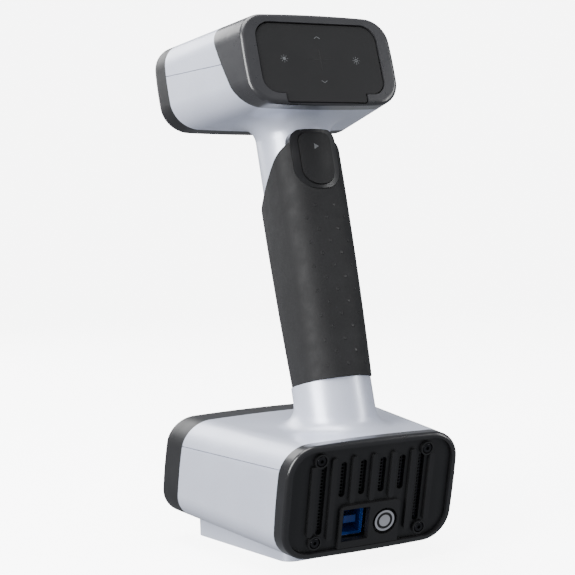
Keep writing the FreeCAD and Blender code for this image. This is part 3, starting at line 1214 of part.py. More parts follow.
trayBack = "tray_front - tray_thick"
trayPlate = block("head_rear", both("tray_half_width"), (trayBack, "tray_front"),
                  ("pad_middle - tray_half_height", "pad_middle + tray_half_height"))
trayLugs = []
for sign in (1, -1):
    near, far = "carrier_half_width + lug_gap", "carrier_half_width + lug_gap + lug_thick"
    span = (near, far) if sign == 1 else (f"0 - ({far})", f"0 - ({near})")
    trayLugs.append(block("head_rear", span, ("tray_front - fit_gap", "pivot_depth + 2 * pivot_radius"),
                          ("pad_middle - lug_half", "pad_middle + lug_half")))
pinBores = crossRod("head_rear", "pivot_radius + pin_gap", both("far_off / 8"), "pivot_depth", "pad_middle")
node("pad_tray", less(overlap(join(trayPlate, *trayLugs), headInner), pinBores))
lugRooms = [block("head_rear", (f"{low} - fit_gap", f"{high} + fit_gap"), both("far_off / 8"),
                  ("pad_middle - lug_half - fit_gap", "pad_middle + lug_half + fit_gap"))
            for low, high in (
                ("carrier_half_width + lug_gap", "carrier_half_width + lug_gap + lug_thick"),
                ("0 - carrier_half_width - lug_gap - lug_thick", "0 - carrier_half_width - lug_gap"))]
node("pad_board", less(
    block("head_rear", both("pad_board_width"), ("tray_front", keyFoot),
          ("pad_middle - pad_board_half", "pad_middle + pad_board_half")), *lugRooms))
node("pad_switches", group([
    join(block("head_rear", (f"{x} - key_half", f"{x} + key_half"), (keyFoot, f"{keyTop} - key_half / 2"),
               (f"{s} - key_half", f"{s} + key_half")),
         deepRod("head_rear", "key_post", (keyFoot, keyTop), x, s))
    for x, s in keySpots]))

# ---- check and write ----
doc.recompute()
failed = [item.Label for item in doc.Objects if "Invalid" in item.State or "Error" in item.State]
if failed:
    raise RuntimeError(f"failed objects: {failed}")
for item in nodes:
    if item.Shape.isNull() or not item.Shape.isValid() or not item.Shape.Solids:
        raise RuntimeError(f"bad shape: {item.Label}")
os.makedirs("parts", exist_ok=True)
for item in nodes:
    item.Shape.exportStep(f"parts/{item.Label}.step")
print(len(nodes), "nodes written")
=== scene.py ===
import bpy
import bmesh
import json
import math
from mathutils import Matrix, Vector
from mathutils.bvhtree import BVHTree


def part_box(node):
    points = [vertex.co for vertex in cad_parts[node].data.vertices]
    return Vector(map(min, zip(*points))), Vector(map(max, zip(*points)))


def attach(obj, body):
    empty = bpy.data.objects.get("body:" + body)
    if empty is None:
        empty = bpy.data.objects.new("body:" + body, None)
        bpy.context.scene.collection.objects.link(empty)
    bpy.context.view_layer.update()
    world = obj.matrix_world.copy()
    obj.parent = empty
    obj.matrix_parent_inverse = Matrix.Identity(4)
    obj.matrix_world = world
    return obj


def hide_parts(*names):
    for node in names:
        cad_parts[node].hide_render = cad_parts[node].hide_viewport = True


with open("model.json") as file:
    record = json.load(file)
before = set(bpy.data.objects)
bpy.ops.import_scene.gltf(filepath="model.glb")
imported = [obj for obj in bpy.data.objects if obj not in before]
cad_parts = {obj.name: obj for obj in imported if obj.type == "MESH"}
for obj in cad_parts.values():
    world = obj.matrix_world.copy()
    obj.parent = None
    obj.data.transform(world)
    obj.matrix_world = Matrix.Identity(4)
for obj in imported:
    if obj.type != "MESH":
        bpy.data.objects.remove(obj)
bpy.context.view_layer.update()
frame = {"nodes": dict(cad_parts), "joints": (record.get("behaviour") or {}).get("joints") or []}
nodes = frame["nodes"]
mm = 0.001
print("frame loaded:", len(nodes), "nodes")

# Places of the three tipped planes that details lie on, read from the joints.
# In each, x runs across the scanner, y out of the surface and z up along it.
joints = {joint["name"]: joint for joint in frame["joints"]}


def placeFrom(point, outward):
    across = Vector((1, 0, 0))
    up = across.cross(outward).normalized()
    place = Matrix((across, outward.normalized(), up)).transposed().to_4x4()
    place.translation = point
    return place


padUp = Vector(joints["pad_rock_left_right"]["axis"])
padPlace = placeFrom(Vector(joints["pad_rock_left_right"]["pos_m"]), padUp.cross(Vector((1, 0, 0))))
ventPlace = placeFrom(Vector(joints["fan_spin"]["pos_m"]), Vector(joints["fan_spin"]["axis"]))
spineLow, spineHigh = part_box("spine_tube")
gripPlace = placeFrom((spineLow + spineHigh) / 2, -Vector(joints["trigger_press"]["axis"]))


def localBox(node, place):
    inverse = place.inverted()
    points = [inverse @ vertex.co for vertex in nodes[node].data.vertices]
    low = Vector([min(point[axis] for point in points) for axis in range(3)])
    high = Vector([max(point[axis] for point in points) for axis in range(3)])
    return low, high


def spread(node, place):
    # boxes of the separate solids of a node, in a place's own directions
    mesh = bmesh.new()
    mesh.from_mesh(nodes[node].data)
    bmesh.ops.remove_doubles(mesh, verts=mesh.verts, dist=1e-6)
    inverse = place.inverted()
    waiting = set(mesh.verts)
    boxes = []
    while waiting:
        island = [waiting.pop()]
        for vertex in island:
            for edge in vertex.link_edges:
                other = edge.other_vert(vertex)
                if other in waiting:
                    waiting.remove(other)
                    island.append(other)
        points = [inverse @ vertex.co for vertex in island]
        boxes.append(([min(point[axis] for point in points) for axis in range(3)],
                      [max(point[axis] for point in points) for axis in range(3)]))
    mesh.free()
    return sorted(boxes)


def edgesAround(verts):
    # each edge once, and always in the same order
    return list(dict.fromkeys(edge for vertex in verts for edge in vertex.link_edges))


def extrudeLoop(mesh, edges, radius, newRadius, drop):
    # carries a round loop on: to a new radius, and down by drop
    made = bmesh.ops.extrude_edge_only(mesh, edges=edges)["geom"]
    verts = [item for item in made if isinstance(item, bmesh.types.BMVert)]
    bmesh.ops.scale(mesh, vec=(newRadius / radius, newRadius / radius, 1), verts=verts)
    bmesh.ops.translate(mesh, vec=(0, 0, -drop), verts=verts)
    return [item for item in made if isinstance(item, bmesh.types.BMEdge)
            and all(vertex in verts for vertex in item.verts)]


def finishPiece(name, mesh, place, material, body, smooth=True):
    bmesh.ops.remove_doubles(mesh, verts=mesh.verts, dist=1e-7)
    bmesh.ops.transform(mesh, matrix=place, verts=mesh.verts)
    bmesh.ops.recalc_face_normals(mesh, faces=mesh.faces)
    data = bpy.data.meshes.new(name)
    mesh.to_mesh(data)
    mesh.free()
    for polygon in data.polygons:
        polygon.use_smooth = smooth
    if smooth:
        data.set_sharp_from_angle(angle=math.radians(35))
    piece = bpy.data.objects.new(name, data)
    bpy.context.scene.collection.objects.link(piece)
    piece.data.materials.append(material)
    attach(piece, body)
    return piece


def linear(hexText):
    values = [int(hexText[start:start + 2], 16) / 255 for start in (1, 3, 5)]
    return tuple(v / 12.92 if v <= 0.04045 else ((v + 0.055) / 1.055) ** 2.4 for v in values) + (1,)


def perMetre(size):
    # pattern scale on object coordinates for features of this size in millimetres
    return 1 / (size * mm)


def addNode(tree, kind, settings, wires=()):
    node = tree.nodes.new("ShaderNode" + kind)
    for name, value in settings.items():
        if isinstance(name, int) or name in node.inputs:
            node.inputs[name].default_value = value
        else:
            setattr(node, name, value)
    for source, socket in wires:
        tree.links.new(source, node.inputs[socket])
    return node


def newMaterial(name, surface):
    material = bpy.data.materials.new(name)
    material.use_nodes = True
    tree = material.node_tree
    shader = tree.nodes["Principled BSDF"]
    for socket, value in surface.items():
        shader.inputs[socket].default_value = value
    where = addNode(tree, "TexCoord", {}).outputs["Object"]
    return material, tree, shader, where


def twoTone(tree, shader, where, light, dark, size, detail=3):
    # slow drift between two close colours, as between mould batches, handling and dust
    cloud = addNode(tree, "TexNoise", {"Scale": perMetre(size), "Detail": detail, "Roughness": 0.6},
                    [(where, "Vector")])
    ramp = addNode(tree, "ValToRGB", {}, [(cloud.outputs[0], "Fac")])
    ramp.color_ramp.elements[0].position = 0.32
    ramp.color_ramp.elements[0].color = linear(dark)
    ramp.color_ramp.elements[1].position = 0.68
    ramp.color_ramp.elements[1].color = linear(light)
    tree.links.new(ramp.outputs[0], shader.inputs["Base Color"])
    return cloud, ramp


def unevenGloss(tree, shader, where, low, high, size):
    # roughness that wanders a little, as a handled surface does
    smear = addNode(tree, "TexNoise", {"Scale": perMetre(size), "Detail": 4, "Roughness": 0.65},
                    [(where, "Vector")])
    spreadNode = addNode(tree, "MapRange", {"From Min": 0.3, "From Max": 0.7, "To Min": low, "To Max": high},
                         [(smear.outputs[0], "Value")])
    tree.links.new(spreadNode.outputs[0], shader.inputs["Roughness"])


def relief(tree, shader, height, strength, depth):
    bump = addNode(tree, "Bump", {"Strength": strength, "Distance": depth * mm}, [(height, "Height")])
    tree.links.new(bump.outputs[0], shader.inputs["Normal"])
    return bump


def mouldedPlastic(name, light, dark, grain, strength, gloss, surface):
    # ABS or PC from a spark-eroded mould: a fine even grain of small pits breaks the shine
    material, tree, shader, where = newMaterial(name, dict({"IOR": 1.5}, **surface))
    twoTone(tree, shader, where, light, dark, 14)
    unevenGloss(tree, shader, where, gloss[0], gloss[1], 9)
    pits = addNode(tree, "TexVoronoi", {"Scale": perMetre(grain), "Randomness": 1}, [(where, "Vector")])
    fine = addNode(tree, "TexNoise", {"Scale": perMetre(grain * 0.6), "Detail": 2}, [(where, "Vector")])
    both = addNode(tree, "Math", {"operation": "ADD"}, [(pits.outputs[0], 0), (fine.outputs[0], 1)])
    relief(tree, shader, both.outputs[0], strength, 0.05)
    return material


def bareMetal(name, light, dark, grainSize, stretch, gloss, surface):
    # turned, drawn or brushed metal: fine lines along one way, so highlights spread across them
    material, tree, shader, where = newMaterial(name, dict({"Metallic": 1}, **surface))
    lines = addNode(tree, "Mapping", {"Scale": stretch}, [(where, "Vector")])
    cloud, ramp = twoTone(tree, shader, where, light, dark, 6)
    unevenGloss(tree, shader, lines.outputs[0], gloss[0], gloss[1], grainSize)
    scratch = addNode(tree, "TexNoise", {"Scale": perMetre(grainSize), "Detail": 3},
                      [(lines.outputs[0], "Vector")])
    relief(tree, shader, scratch.outputs[0], 0.25, 0.03)
    return material


def silverPaint():
    # satin silver two-coat paint on moulded ABS: metal flakes under a soft clear coat
    material, tree, shader, where = newMaterial("satinSilverPaint", {
        "Metallic": 0.35, "Roughness": 0.34, "Coat Weight": 0.35, "Coat Roughness": 0.2, "IOR": 1.5})
    cloud, ramp = twoTone(tree, shader, where, "#DADFEE", "#D1D6E6", 45)
    # flakes are about 0.05 mm, drawn as 0.35 mm so that they show
    flakes = addNode(tree, "TexVoronoi", {"Scale": perMetre(0.35)}, [(where, "Vector")])
    sparkle = addNode(tree, "MapRange", {"From Min": 0, "From Max": 1, "To Min": 0.97, "To Max": 1.05},
                      [(flakes.outputs["Color"], "Value")])
    tint = addNode(tree, "Mix", {"data_type": "RGBA", "blend_type": "MULTIPLY", 0: 1.0})
    tree.links.new(ramp.outputs[0], tint.inputs[6])
    tree.links.new(sparkle.outputs[0], tint.inputs[7])
    tree.links.new(tint.outputs[2], shader.inputs["Base Color"])
    unevenGloss(tree, shader, where, 0.31, 0.39, 20)
    # the faint orange peel of sprayed paint
    peel = addNode(tree, "TexNoise", {"Scale": perMetre(1.6), "Detail": 2}, [(where, "Vector")])
    relief(tree, shader, peel.outputs[0], 0.05, 0.05)
    return material


def gripRubber():
    # soft-touch TPE over-mould: dull, a little dusty, with a leather-like micro grain
    material, tree, shader, where = newMaterial("softTouchRubber", {
        "Roughness": 0.7, "IOR": 1.5, "Specular IOR Level": 0.32, "Sheen Weight": 0.03,
        "Sheen Roughness": 0.5, "Sheen Tint": linear("#8A8A8E")})
    twoTone(tree, shader, where, "#1D1D1E", "#181819", 18)
    unevenGloss(tree, shader, where, 0.62, 0.76, 7)
    cells = addNode(tree, "TexVoronoi", {"feature": "DISTANCE_TO_EDGE", "Scale": perMetre(0.55)},
                    [(where, "Vector")])
    creases = addNode(tree, "MapRange", {"From Min": 0, "From Max": 0.12, "To Min": 0, "To Max": 1},
                      [(cells.outputs[0], "Value")])
    relief(tree, shader, creases.outputs[0], 0.22, 0.04)
    return material


def circuitBoard(name, mask, second, track):
    # fibreglass under solder mask: copper tracks show as lighter lines under it
    material, tree, shader, where = newMaterial(name, {"Roughness": 0.35, "IOR": 1.5})
    tracks = addNode(tree, "TexBrick", {
        "Scale": perMetre(9), "Mortar Size": 0.03, "Mortar Smooth": 0.2, "Color1": linear(mask),
        "Color2": linear(second), "Mortar": linear(track)}, [(where, "Vector")])
    tree.links.new(tracks.outputs[0], shader.inputs["Base Color"])
    relief(tree, shader, tracks.outputs[1], 0.2, 0.03)
    return material


def smokedAcrylic():
    # cast acrylic with a grey tint: sharp reflections, dark depth
    material, tree, shader, where = newMaterial("smokedAcrylic", {
        "Transmission Weight": 0.35, "IOR": 1.49, "Coat Weight": 0.3, "Coat Roughness": 0.03})
    twoTone(tree, shader, where, "#1A1C1F", "#141618", 60)
    unevenGloss(tree, shader, where, 0.05, 0.08, 40)
    return material


def coatedGlass():
    # optical glass with a violet-blue anti-reflection coating
    material, tree, shader, where = newMaterial("coatedLensGlass", {
        "Transmission Weight": 0.45, "IOR": 1.6, "Coat Weight": 1.0, "Coat Roughness": 0.02})
    twoTone(tree, shader, where, "#1B1636", "#0D1430", 7)
    unevenGloss(tree, shader, where, 0.02, 0.05, 5)
    return material


silver = silverPaint()
rubber = gripRubber()
board = circuitBoard("greenSolderMask", "#0E4A2C", "#125435", "#2E7A4E")
ringBoard = circuitBoard("blackSolderMask", "#101112", "#141516", "#25272A")
acrylic = smokedAcrylic()
lensGlass = coatedGlass()
# dark grey fine-grained PC-ABS of the front bezels
charcoal = mouldedPlastic("charcoalAbs", "#202021", "#1A1A1B", 0.42, 0.1, (0.38, 0.48), {})
# satin lacquer of the rear rims: smoother, with a clear coat that mirrors softly. The head's rim is made a
# shade lighter than the pad inside it, a painted reflection of the studio light on it, and the base's rim is
# nearly black
rimLacquerPaintedReflection = mouldedPlastic("rimLacquerWithPaintedReflection", "#2E2E30", "#29292B", 0.5, 0.02, (0.26, 0.34),
                          {"Coat Weight": 0.4, "Coat Roughness": 0.24})
blackLacquer = mouldedPlastic("satinBlackLacquer", "#18181A", "#141415", 0.5, 0.02, (0.26, 0.34),
                              {"Coat Weight": 0.4, "Coat Roughness": 0.2})
# near-black grained ABS of the vent panel
ventBlack = mouldedPlastic("grainedBlackAbs", "#161617", "#111112", 0.38, 0.1, (0.34, 0.44), {})
# the pad and the trigger: dead-matt soft-feel lacquer
padMatt = mouldedPlastic("mattSoftLacquer", "#161617", "#131314", 0.3, 0.05, (0.52, 0.62),
                       {"Specular IOR Level": 0.32})
collarBlack = mouldedPlastic("satinBlackAbs", "#131314", "#101011", 0.36, 0.06, (0.32, 0.42), {})
portBlue = mouldedPlastic("blueNylon", "#12479E", "#0E3A84", 0.4, 0.1, (0.32, 0.42), {})
iconGrey = mouldedPlastic("greyPrintInk", "#5F6163", "#545658", 0.25, 0.05, (0.5, 0.6), {})
# painted shade: a near-black for the shade in the pad's cross groove and in the hollows of the grip's dimples
hollowShadeGrey = mouldedPlastic("paintedHollowShade", "#121212", "#0F0F10", 0.25, 0.05, (0.4, 0.5), {})
jacket = mouldedPlastic("cableJacketPvc", "#232324", "#1C1C1D", 0.5, 0.1, (0.4, 0.5), {})
redPlunger = mouldedPlastic("redSwitchPlunger", "#9A2B22", "#86231B", 0.3, 0.1, (0.4, 0.5), {})
ledDome = mouldedPlastic("clearLedResin", "#F2F0E6", "#E6E2D2", 0.4, 0.04, (0.12, 0.2),
                         {"Transmission Weight": 0.3})
anodised = bareMetal("blackAnodisedAluminium", "#2B2B2E", "#222225", 0.3, (1, 0.2, 1), (0.3, 0.42), {})
aluminium = bareMetal("brushedAluminium", "#C9CBCE", "#B9BBBF", 0.3, (0.06, 1, 1), (0.28, 0.4), {})
nickel = bareMetal("brightNickel", "#E4E4E6", "#D6D6D8", 0.25, (1, 1, 1), (0.14, 0.22), {})
screwSteel = bareMetal("blackenedScrewSteel", "#3A3A3C", "#2C2C2E", 0.2, (1, 1, 1), (0.3, 0.42), {})
gold = bareMetal("goldPlatedContact", "#D9B25A", "#C79F49", 0.2, (1, 0.2, 1), (0.2, 0.3), {})

finishes = {
    silver: ("base_upper_shell", "base_lower_shell", "head_lower_shell", "head_upper_shell", "foot_plate"),
    charcoal: ("base_front_bezel", "head_front_bezel", "projector_engine"),
    # the head's rim gets the lacquer lightened as painted reflection
    rimLacquerPaintedReflection: ("head_rear_bezel",),
    blackLacquer: ("base_rear_bezel",),
    ventBlack: ("vent_panel", "vent_mesh", "grip_core_left", "grip_core_right", "pad_tray", "pad_carrier",
                "fan_frame", "fan_rotor", "trigger_switch", "pad_switches", "harness_plugs",
                "power_socket_insulator"),
    padMatt: ("control_pad", "trigger_button"),
    collarBlack: ("trigger_collar",),
    rubber: ("grip_sleeve",),
    acrylic: ("base_front_window", "head_front_window"),
    lensGlass: ("projector_lens", "stereo_camera_lenses", "texture_camera_lens", "line_laser_lenses"),
    anodised: ("projector_barrel", "texture_camera_barrel", "stereo_camera_barrels", "line_laser_barrels"),
    aluminium: ("base_chassis", "head_chassis", "spine_tube", "heatsink"),
    board: ("main_board", "head_board", "pad_board", "trigger_board", "port_board",
            "stereo_camera_boards", "texture_camera_board"),
    ringBoard: ("light_ring_boards",),
    ledDome: ("light_ring_leds",),
    screwSteel: ("foot_screws", "chassis_screws", "panel_screws", "board_screws"),
    nickel: ("usb_port_shell", "power_socket_ring", "power_socket_pin"),
    portBlue: ("usb_port_insert",),
    jacket: ("harness_cable",),
    redPlunger: ("trigger_plunger",),
}
for material, names in finishes.items():
    for name in names:
        nodes[name].data.materials.clear()
        nodes[name].data.materials.append(material)
print("materials on", sum(len(names) for names in finishes.values()), "nodes")


# printed icons, and the painted shade of the pad's cross groove, are thin solids that stand a hair over the
# surface
def addSolid(mesh, outline, depth, thick):
    # a flat outline in x and z, thickened outward along y
    corners = [mesh.verts.new((x, depth, z)) for x, z in outline]
    face = mesh.faces.new(corners)
    made = bmesh.ops.extrude_face_region(mesh, geom=[face])
    raised = [item for item in made["geom"] if isinstance(item, bmesh.types.BMVert)]
    bmesh.ops.translate(mesh, verts=raised, vec=(0, thick, 0))


def stroke(mesh, start, end, width, depth, thick):
    along = (Vector(end) - Vector(start)).normalized() * width / 2
    side = Vector((-along.y, along.x))
    outline = [Vector(start) - side, Vector(end) - side, Vector(end) + side, Vector(start) + side]
    addSolid(mesh, [tuple(point) for point in outline], depth, thick)


def ringSolid(mesh, centre, outer, inner, depth, thick):
    sides = 28
    start = bmesh.ops.create_circle(mesh, segments=sides, radius=outer, cap_ends=False)
    turn = Matrix.Translation((centre[0], depth, centre[1])) @ Matrix.Rotation(math.pi / 2, 4, "X")
    bmesh.ops.transform(mesh, matrix=turn, verts=start["verts"])
    outerEdges = edgesAround(start["verts"])
    if inner:
        inside = bmesh.ops.create_circle(mesh, segments=sides, radius=inner, cap_ends=False)
        bmesh.ops.transform(mesh, matrix=turn, verts=inside["verts"])
        innerEdges = edgesAround(inside["verts"])
        faces = bmesh.ops.bridge_loops(mesh, edges=outerEdges + innerEdges)["faces"]
    else:
        faces = bmesh.ops.contextual_create(mesh, geom=outerEdges)["faces"]
    made = bmesh.ops.extrude_face_region(mesh, geom=faces)
    raised = [item for item in made["geom"] if isinstance(item, bmesh.types.BMVert)]
    bmesh.ops.translate(mesh, verts=raised, vec=(0, thick, 0))


padHigh = localBox("control_pad", padPlace)[1]
padIcons = {
    "stands": 0.04 * mm, "sink": 0.1 * mm, "line": 0.28 * mm,
    "chevronRise": 0.9 * mm, "chevronHalf": 1.35 * mm, "chevronUp": 10.2 * mm, "chevronDown": -10.2 * mm,
    "sunX": 17.3 * mm, "sunDot": 0.75 * mm, "sunRing": 0.4 * mm, "rayStart": 1.15 * mm,
    "rayEnd": 1.75 * mm, "rayLine": 0.224 * mm, "rays": 8,
    "crossHalfX": 6.6 * mm, "crossHalfZ": 4.6 * mm, "crossLine": 0.3 * mm,
}


def makePadIcons(icon):
    thick = icon["stands"] + icon["sink"]
    depth = padHigh.y - icon["sink"]
    printed = bmesh.new()
    for height, sense in ((icon["chevronUp"], 1), (icon["chevronDown"], -1)):
        tip = (0, height + sense * icon["chevronRise"] / 2)
        for side in (1, -1):
            foot = (side * icon["chevronHalf"], height - sense * icon["chevronRise"] / 2)
            stroke(printed, foot, tip, icon["line"], depth, thick)
    for side in (1, -1):
        centre = (side * icon["sunX"], 0)
        if side == 1:
            ringSolid(printed, centre, icon["sunDot"], 0, depth, thick)
        else:
            ringSolid(printed, centre, icon["sunDot"], icon["sunRing"], depth, thick)
        for ray in range(icon["rays"]):
            turn = ray * 2 * math.pi / icon["rays"]
            way = Vector((math.cos(turn), math.sin(turn)))
            stroke(printed, Vector(centre) + way * icon["rayStart"], Vector(centre) + way * icon["rayEnd"],
                   icon["rayLine"], depth, thick)
    finishPiece("padIcons", printed, padPlace, iconGrey, "pad", False)
    # the cross is painted shade: dark strips standing a hair over the pad in place of the shade in its cross
    # groove
    cross = bmesh.new()
    stroke(cross, (-icon["crossHalfX"], 0), (icon["crossHalfX"], 0), icon["crossLine"], depth, thick)
    for side in (1, -1):
        stroke(cross, (0, side * icon["crossLine"] / 2), (0, side * icon["crossHalfZ"]),
               icon["crossLine"], depth, thick)
    finishPiece("padCrossGrooveShade", cross, padPlace, hollowShadeGrey, "pad", False)


makePadIcons(padIcons)

buttonLow, buttonHigh = localBox("trigger_button", gripPlace)
triggerIcon = {"width": 2.2 * mm, "height": 2.6 * mm, "above": 5.3 * mm, "stands": 0.04 * mm,
               "sink": 0.25 * mm}


def makeTriggerIcon(icon):
    middle = (buttonLow.z + buttonHigh.z) / 2 + icon["above"]
    mark = bmesh.new()
    outline = [(-icon["width"] / 2, middle), (icon["width"] / 2, middle + icon["height"] / 2),
               (icon["width"] / 2, middle - icon["height"] / 2)]
    addSolid(mark, outline, buttonHigh.y - icon["sink"], icon["sink"] + icon["stands"])
    finishPiece("triggerIcon", mark, gripPlace, iconGrey, "trigger", False)


makeTriggerIcon(triggerIcon)
print("icons made")


# dimples on the rear of the grip
gripDimples = {"columns": (-2, -1, 0, 1, 2), "across": 4.6 * mm, "along": 10.6 * mm, "rows": 7,
               "low": -47 * mm, "radius": 0.8 * mm, "lip": 0.14 * mm, "wall": 0.18 * mm,
               "shadeDiscShare": 0.3, "sides": 14, "reach": 60 * mm}


def makeDimples(dimple):
    # each is a small ring with a dark disc inside it, painted shade of a dent, set on the rubber where a line
    # from behind meets it
    sleeve = nodes["grip_sleeve"].data
    surface = BVHTree.FromPolygons([vertex.co for vertex in sleeve.vertices],
                                   [polygon.vertices for polygon in sleeve.polygons])
    lips, shadeDiscs = bmesh.new(), bmesh.new()
    for column in dimple["columns"]:
        for row in range(dimple["rows"]):
            along = dimple["low"] + (row + column % 2 / 2) * dimple["along"]
            start = gripPlace @ Vector((column * dimple["across"], dimple["reach"], along))
            inward = gripPlace.to_3x3() @ Vector((0, -1, 0))
            spot, normal = surface.ray_cast(start, inward)[:2]
            if spot is None:
                continue
            stand = Matrix.Translation(spot) @ normal.to_track_quat("Z", "Y").to_matrix().to_4x4()
            before = set(lips.verts)
            radius = dimple["radius"]
            bmesh.ops.create_circle(lips, segments=dimple["sides"], radius=radius)
            ring = [edge for edge in lips.edges if not before & set(edge.verts)]
            crest = extrudeLoop(lips, ring, radius, radius - dimple["wall"], -dimple["lip"])
            inside = radius - 2 * dimple["wall"]
            extrudeLoop(lips, crest, radius - dimple["wall"], inside, dimple["lip"])
            bmesh.ops.transform(lips, matrix=stand, verts=[v for v in lips.verts if v not in before])
            # the dark disc inside each ring is painted shade, in place of the shadow in the hollow of a dent
            disc = bmesh.ops.create_circle(shadeDiscs, segments=dimple["sides"], cap_ends=True,
                                           radius=inside + dimple["wall"] / 2)
            sunk = stand @ Matrix.Translation((0, 0, dimple["lip"] * dimple["shadeDiscShare"]))
            bmesh.ops.transform(shadeDiscs, matrix=sunk, verts=disc["verts"])
    straight = Matrix.Identity(4)
    finishPiece("dimpleLips", lips, straight, rubber, "scanner")
    finishPiece("dimpleShadeDiscs", shadeDiscs, straight, hollowShadeGrey, "scanner", False)


makeDimples(gripDimples)
print("dimples made")


# the perforated sheet behind the vent slots
meshLow, meshHigh = localBox("vent_mesh", ventPlace)
perforated = {"pitch": 1.5 * mm, "web": 0.2 * mm, "hole": 1.1 * mm, "notchHalf": 14.4 * mm,
              "notchTop": 3.6 * mm}


def makePerforatedSheet(sheet):
    width, height = meshHigh.x - meshLow.x, meshHigh.z - meshLow.z
    columns, rows = round(width / sheet["pitch"]), round(height / sheet["pitch"])
    mesh = bmesh.new()
    bmesh.ops.create_grid(mesh, x_segments=columns, y_segments=rows, size=0.5)
    bmesh.ops.scale(mesh, vec=(width, height, 1), verts=mesh.verts)
    centre = Vector(((meshHigh.x + meshLow.x) / 2, meshHigh.y, (meshHigh.z + meshLow.z) / 2))
    upright = Matrix.Translation(centre) @ Matrix.Rotation(math.pi / 2, 4, "X")
    bmesh.ops.transform(mesh, matrix=upright, verts=mesh.verts)
    gone = [face for face in mesh.faces
            if abs(face.calc_center_median().x) < sheet["notchHalf"]
            and face.calc_center_median().z < sheet["notchTop"]]
    bmesh.ops.delete(mesh, geom=gone, context="FACES")
    cells = list(mesh.faces)
    bmesh.ops.inset_individual(mesh, faces=cells, thickness=sheet["web"])
    # the middle of each cell becomes a hole: its sides get a middle point, and all eight points
    # of a cell move onto one circle
    sides = list(dict.fromkeys(edge for face in cells for edge in face.edges))
    bmesh.ops.subdivide_edges(mesh, edges=sides, cuts=1)
    for face in cells:
        middle = face.calc_center_median()
        for vertex in face.verts:
            vertex.co = middle + (vertex.co - middle).normalized() * sheet["hole"] / 2
    bmesh.ops.delete(mesh, geom=cells, context="FACES_ONLY")
    bmesh.ops.recalc_face_normals(mesh, faces=mesh.faces)
    bmesh.ops.solidify(mesh, geom=mesh.faces, thickness=meshHigh.y - meshLow.y)
    piece = finishPiece("perforatedSheet", mesh, ventPlace, ventBlack, "scanner", False)
    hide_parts("vent_mesh")


makePerforatedSheet(perforated)


# screws with a hexagon socket take the place of the plain ones; all but sides are shares of the radius
screws = {"socket": 0.4, "socketDeep": 0.45, "edge": 0.12, "head": 0.62, "shank": 0.52, "sides": 28}
tablePlace = placeFrom(Vector((0, 0, 0)), Vector((0, 0, -1)))


def makeScrews(name, node, place, screw):
    mesh = bmesh.new()
    for low, high in spread(node, place):
        radius, length = (high[0] - low[0]) / 2, high[1] - low[1]
        socket, rim, shank = radius * screw["socket"], radius * (1 - screw["edge"]), radius * screw["shank"]
        before = set(mesh.verts)
        bmesh.ops.create_circle(mesh, segments=6, radius=socket)
        hexagon = [edge for edge in mesh.edges if not before & set(edge.verts)]
        inside = before | {vertex for edge in hexagon for vertex in edge.verts}
        bmesh.ops.create_circle(mesh, segments=screw["sides"], radius=rim)
        outside = [edge for edge in mesh.edges if not inside & set(edge.verts)]
        bmesh.ops.bridge_loops(mesh, edges=hexagon + outside)
        floor = extrudeLoop(mesh, hexagon, socket, socket, radius * screw["socketDeep"])
        edge = extrudeLoop(mesh, outside, rim, radius, radius * screw["edge"])
        under = extrudeLoop(mesh, edge, radius, radius, radius * (screw["head"] - screw["edge"]))
        neck = extrudeLoop(mesh, under, radius, shank, 0)
        tip = extrudeLoop(mesh, neck, shank, shank, length - radius * screw["head"])
        bmesh.ops.contextual_create(mesh, geom=floor)
        bmesh.ops.contextual_create(mesh, geom=tip)
        middle = ((low[0] + high[0]) / 2, high[1], (low[2] + high[2]) / 2)
        turn = Matrix.Translation(middle) @ Matrix.Rotation(-math.pi / 2, 4, "X")
        bmesh.ops.transform(mesh, matrix=turn, verts=[v for v in mesh.verts if v not in before])
    piece = finishPiece(name, mesh, place, screwSteel, "scanner", False)
    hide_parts(node)


makeScrews("panelSocketScrews", "panel_screws", ventPlace, screws)
makeScrews("footSocketScrews", "foot_screws", tablePlace, screws)
print("screws made")


# gold contacts on the tongue of the data port
insertLow, insertHigh = localBox("usb_port_insert", ventPlace)
portContacts = {"tongueHalfZ": 1.6 * mm, "behind": 1 * mm, "count": 4,
                "pitch": 1.25 * mm, "wide": 0.6 * mm, "long": 3.4 * mm, "thick": 0.12 * mm, "edge": 0.05 * mm}


def makePortContacts(contact):
    mesh = bmesh.new()
    centre = (insertLow + insertHigh) / 2
    front = insertHigh.y - contact["behind"]
    for side in (1, -1):
        for step in range(contact["count"]):
            before = set(mesh.verts)
            made = bmesh.ops.create_cube(mesh, size=1)
            bmesh.ops.scale(mesh, vec=(contact["wide"], contact["long"], contact["thick"]),
                            verts=made["verts"])
            solid = edgesAround(made["verts"])
            bmesh.ops.bevel(mesh, geom=solid, offset=contact["edge"], affect="EDGES", segments=1, profile=0.5,
                            material=-1)
            across = centre.x + (step - (contact["count"] - 1) / 2) * contact["pitch"]
            up = centre.z + side * contact["tongueHalfZ"]
            fresh = [vertex for vertex in mesh.verts if vertex not in before]
            bmesh.ops.translate(mesh, vec=(across, front - contact["long"] / 2, up), verts=fresh)
    finishPiece("portContacts", mesh, ventPlace, gold, "scanner", False)


makePortContacts(portContacts)
print("port contacts made")


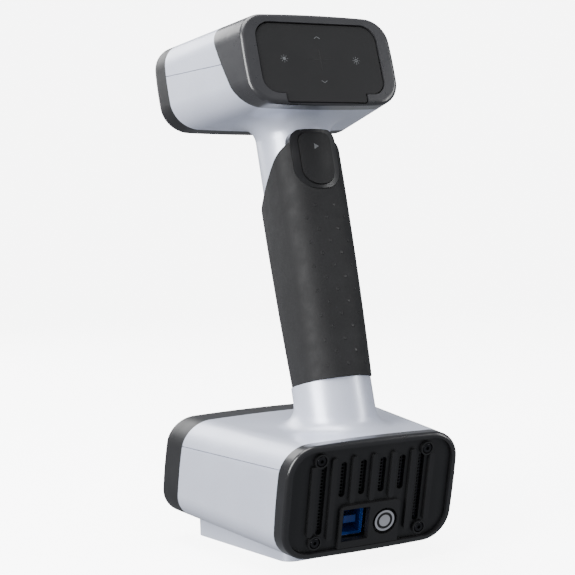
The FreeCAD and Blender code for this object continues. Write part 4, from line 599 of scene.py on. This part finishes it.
def makeStage():
    # a pale floor that curves up far away on all sides
    stage = {"flat": 1.7, "bend": 0.9, "top": 2.4, "bendSteps": 8, "turnSteps": 64}
    mesh = bmesh.new()
    profile = [mesh.verts.new((0, 0, 0)), mesh.verts.new((stage["flat"], 0, 0))]
    for step in range(1, stage["bendSteps"] + 1):
        turn = step * math.pi / 2 / stage["bendSteps"]
        profile.append(mesh.verts.new((stage["flat"] + stage["bend"] * math.sin(turn), 0,
                                       stage["bend"] * (1 - math.cos(turn)))))
    profile.append(mesh.verts.new((stage["flat"] + stage["bend"], 0, stage["top"])))
    edges = [mesh.edges.new(pair) for pair in zip(profile, profile[1:])]
    bmesh.ops.spin(mesh, geom=profile + edges, cent=(0, 0, 0), axis=(0, 0, 1), angle=2 * math.pi,
                   steps=stage["turnSteps"], use_merge=True)
    bmesh.ops.remove_doubles(mesh, verts=mesh.verts, dist=1e-5)
    bmesh.ops.recalc_face_normals(mesh, faces=mesh.faces)
    data = bpy.data.meshes.new("paleFloor")
    mesh.to_mesh(data)
    mesh.free()
    for polygon in data.polygons:
        polygon.use_smooth = True
    floor = bpy.data.objects.new("paleFloor", data)
    bpy.context.scene.collection.objects.link(floor)
    paper, tree, shader, where = newMaterial("whiteBackgroundPaper", {
        "Roughness": 0.9, "Specular IOR Level": 0.1, "Emission Color": linear("#FFFFFF"),
        "Emission Strength": 6.5})
    twoTone(tree, shader, where, "#F7F7F8", "#F4F4F5", 400)
    floor.data.materials.append(paper)
    # the floor lies under the scanner but throws no glare up into its dark plastics
    floor.visible_glossy = False
    floor.visible_diffuse = False


def addLight(name, size, power, position, target):
    data = bpy.data.lights.new(name, "AREA")
    data.shape = "RECTANGLE"
    data.size, data.size_y = size
    data.energy = power
    light = bpy.data.objects.new(name, data)
    bpy.context.scene.collection.objects.link(light)
    light.location = position
    light.rotation_euler = (Vector(target) - Vector(position)).to_track_quat("-Z", "Y").to_euler()


def makeLights():
    world = bpy.data.worlds.new("studioWorld")
    world.use_nodes = True
    world.node_tree.nodes["Background"].inputs[0].default_value = linear("#E9EDF6")
    world.node_tree.nodes["Background"].inputs[1].default_value = 0.42
    bpy.context.scene.world = world
    middle = (0, 0, 0.12)
    addLight("softboxLeft", (0.5, 1.0), 27, (0.95, 0.3, 0.42), middle)
    addLight("softboxTop", (0.9, 0.7), 15, (0.15, -0.05, 1.1), middle)
    addLight("stripRight", (0.1, 0.9), 5, (-0.75, 0.6, 0.3), middle)
    addLight("fillFront", (0.7, 0.7), 8, (0.3, -1.1, 0.6), middle)


def makeCamera():
    # from behind the scanner, on the user's left
    view = {"azimuth": 153.87, "elevation": 2.62, "roll": -2.02, "lens": 78.1, "sensor": 36}
    place = Vector((251.95, 489.89, 141.76)) * mm
    azimuth, elevation = math.radians(view["azimuth"]), math.radians(view["elevation"])
    back = Vector((math.sin(azimuth) * math.cos(elevation), -math.cos(azimuth) * math.cos(elevation),
                   math.sin(elevation)))
    right = Vector((math.cos(azimuth), math.sin(azimuth), 0))
    turned = Matrix((right, back.cross(right), back)).transposed()
    turned = turned @ Matrix.Rotation(math.radians(view["roll"]), 3, "Z")
    data = bpy.data.cameras.new("studioCamera")
    data.lens = view["lens"]
    data.sensor_width = view["sensor"]
    camera = bpy.data.objects.new("studioCamera", data)
    bpy.context.scene.collection.objects.link(camera)
    camera.matrix_world = Matrix.Translation(place) @ turned.to_4x4()
    bpy.context.scene.camera = camera


makeStage()
makeLights()
makeCamera()
print("stage, lights and camera ready")
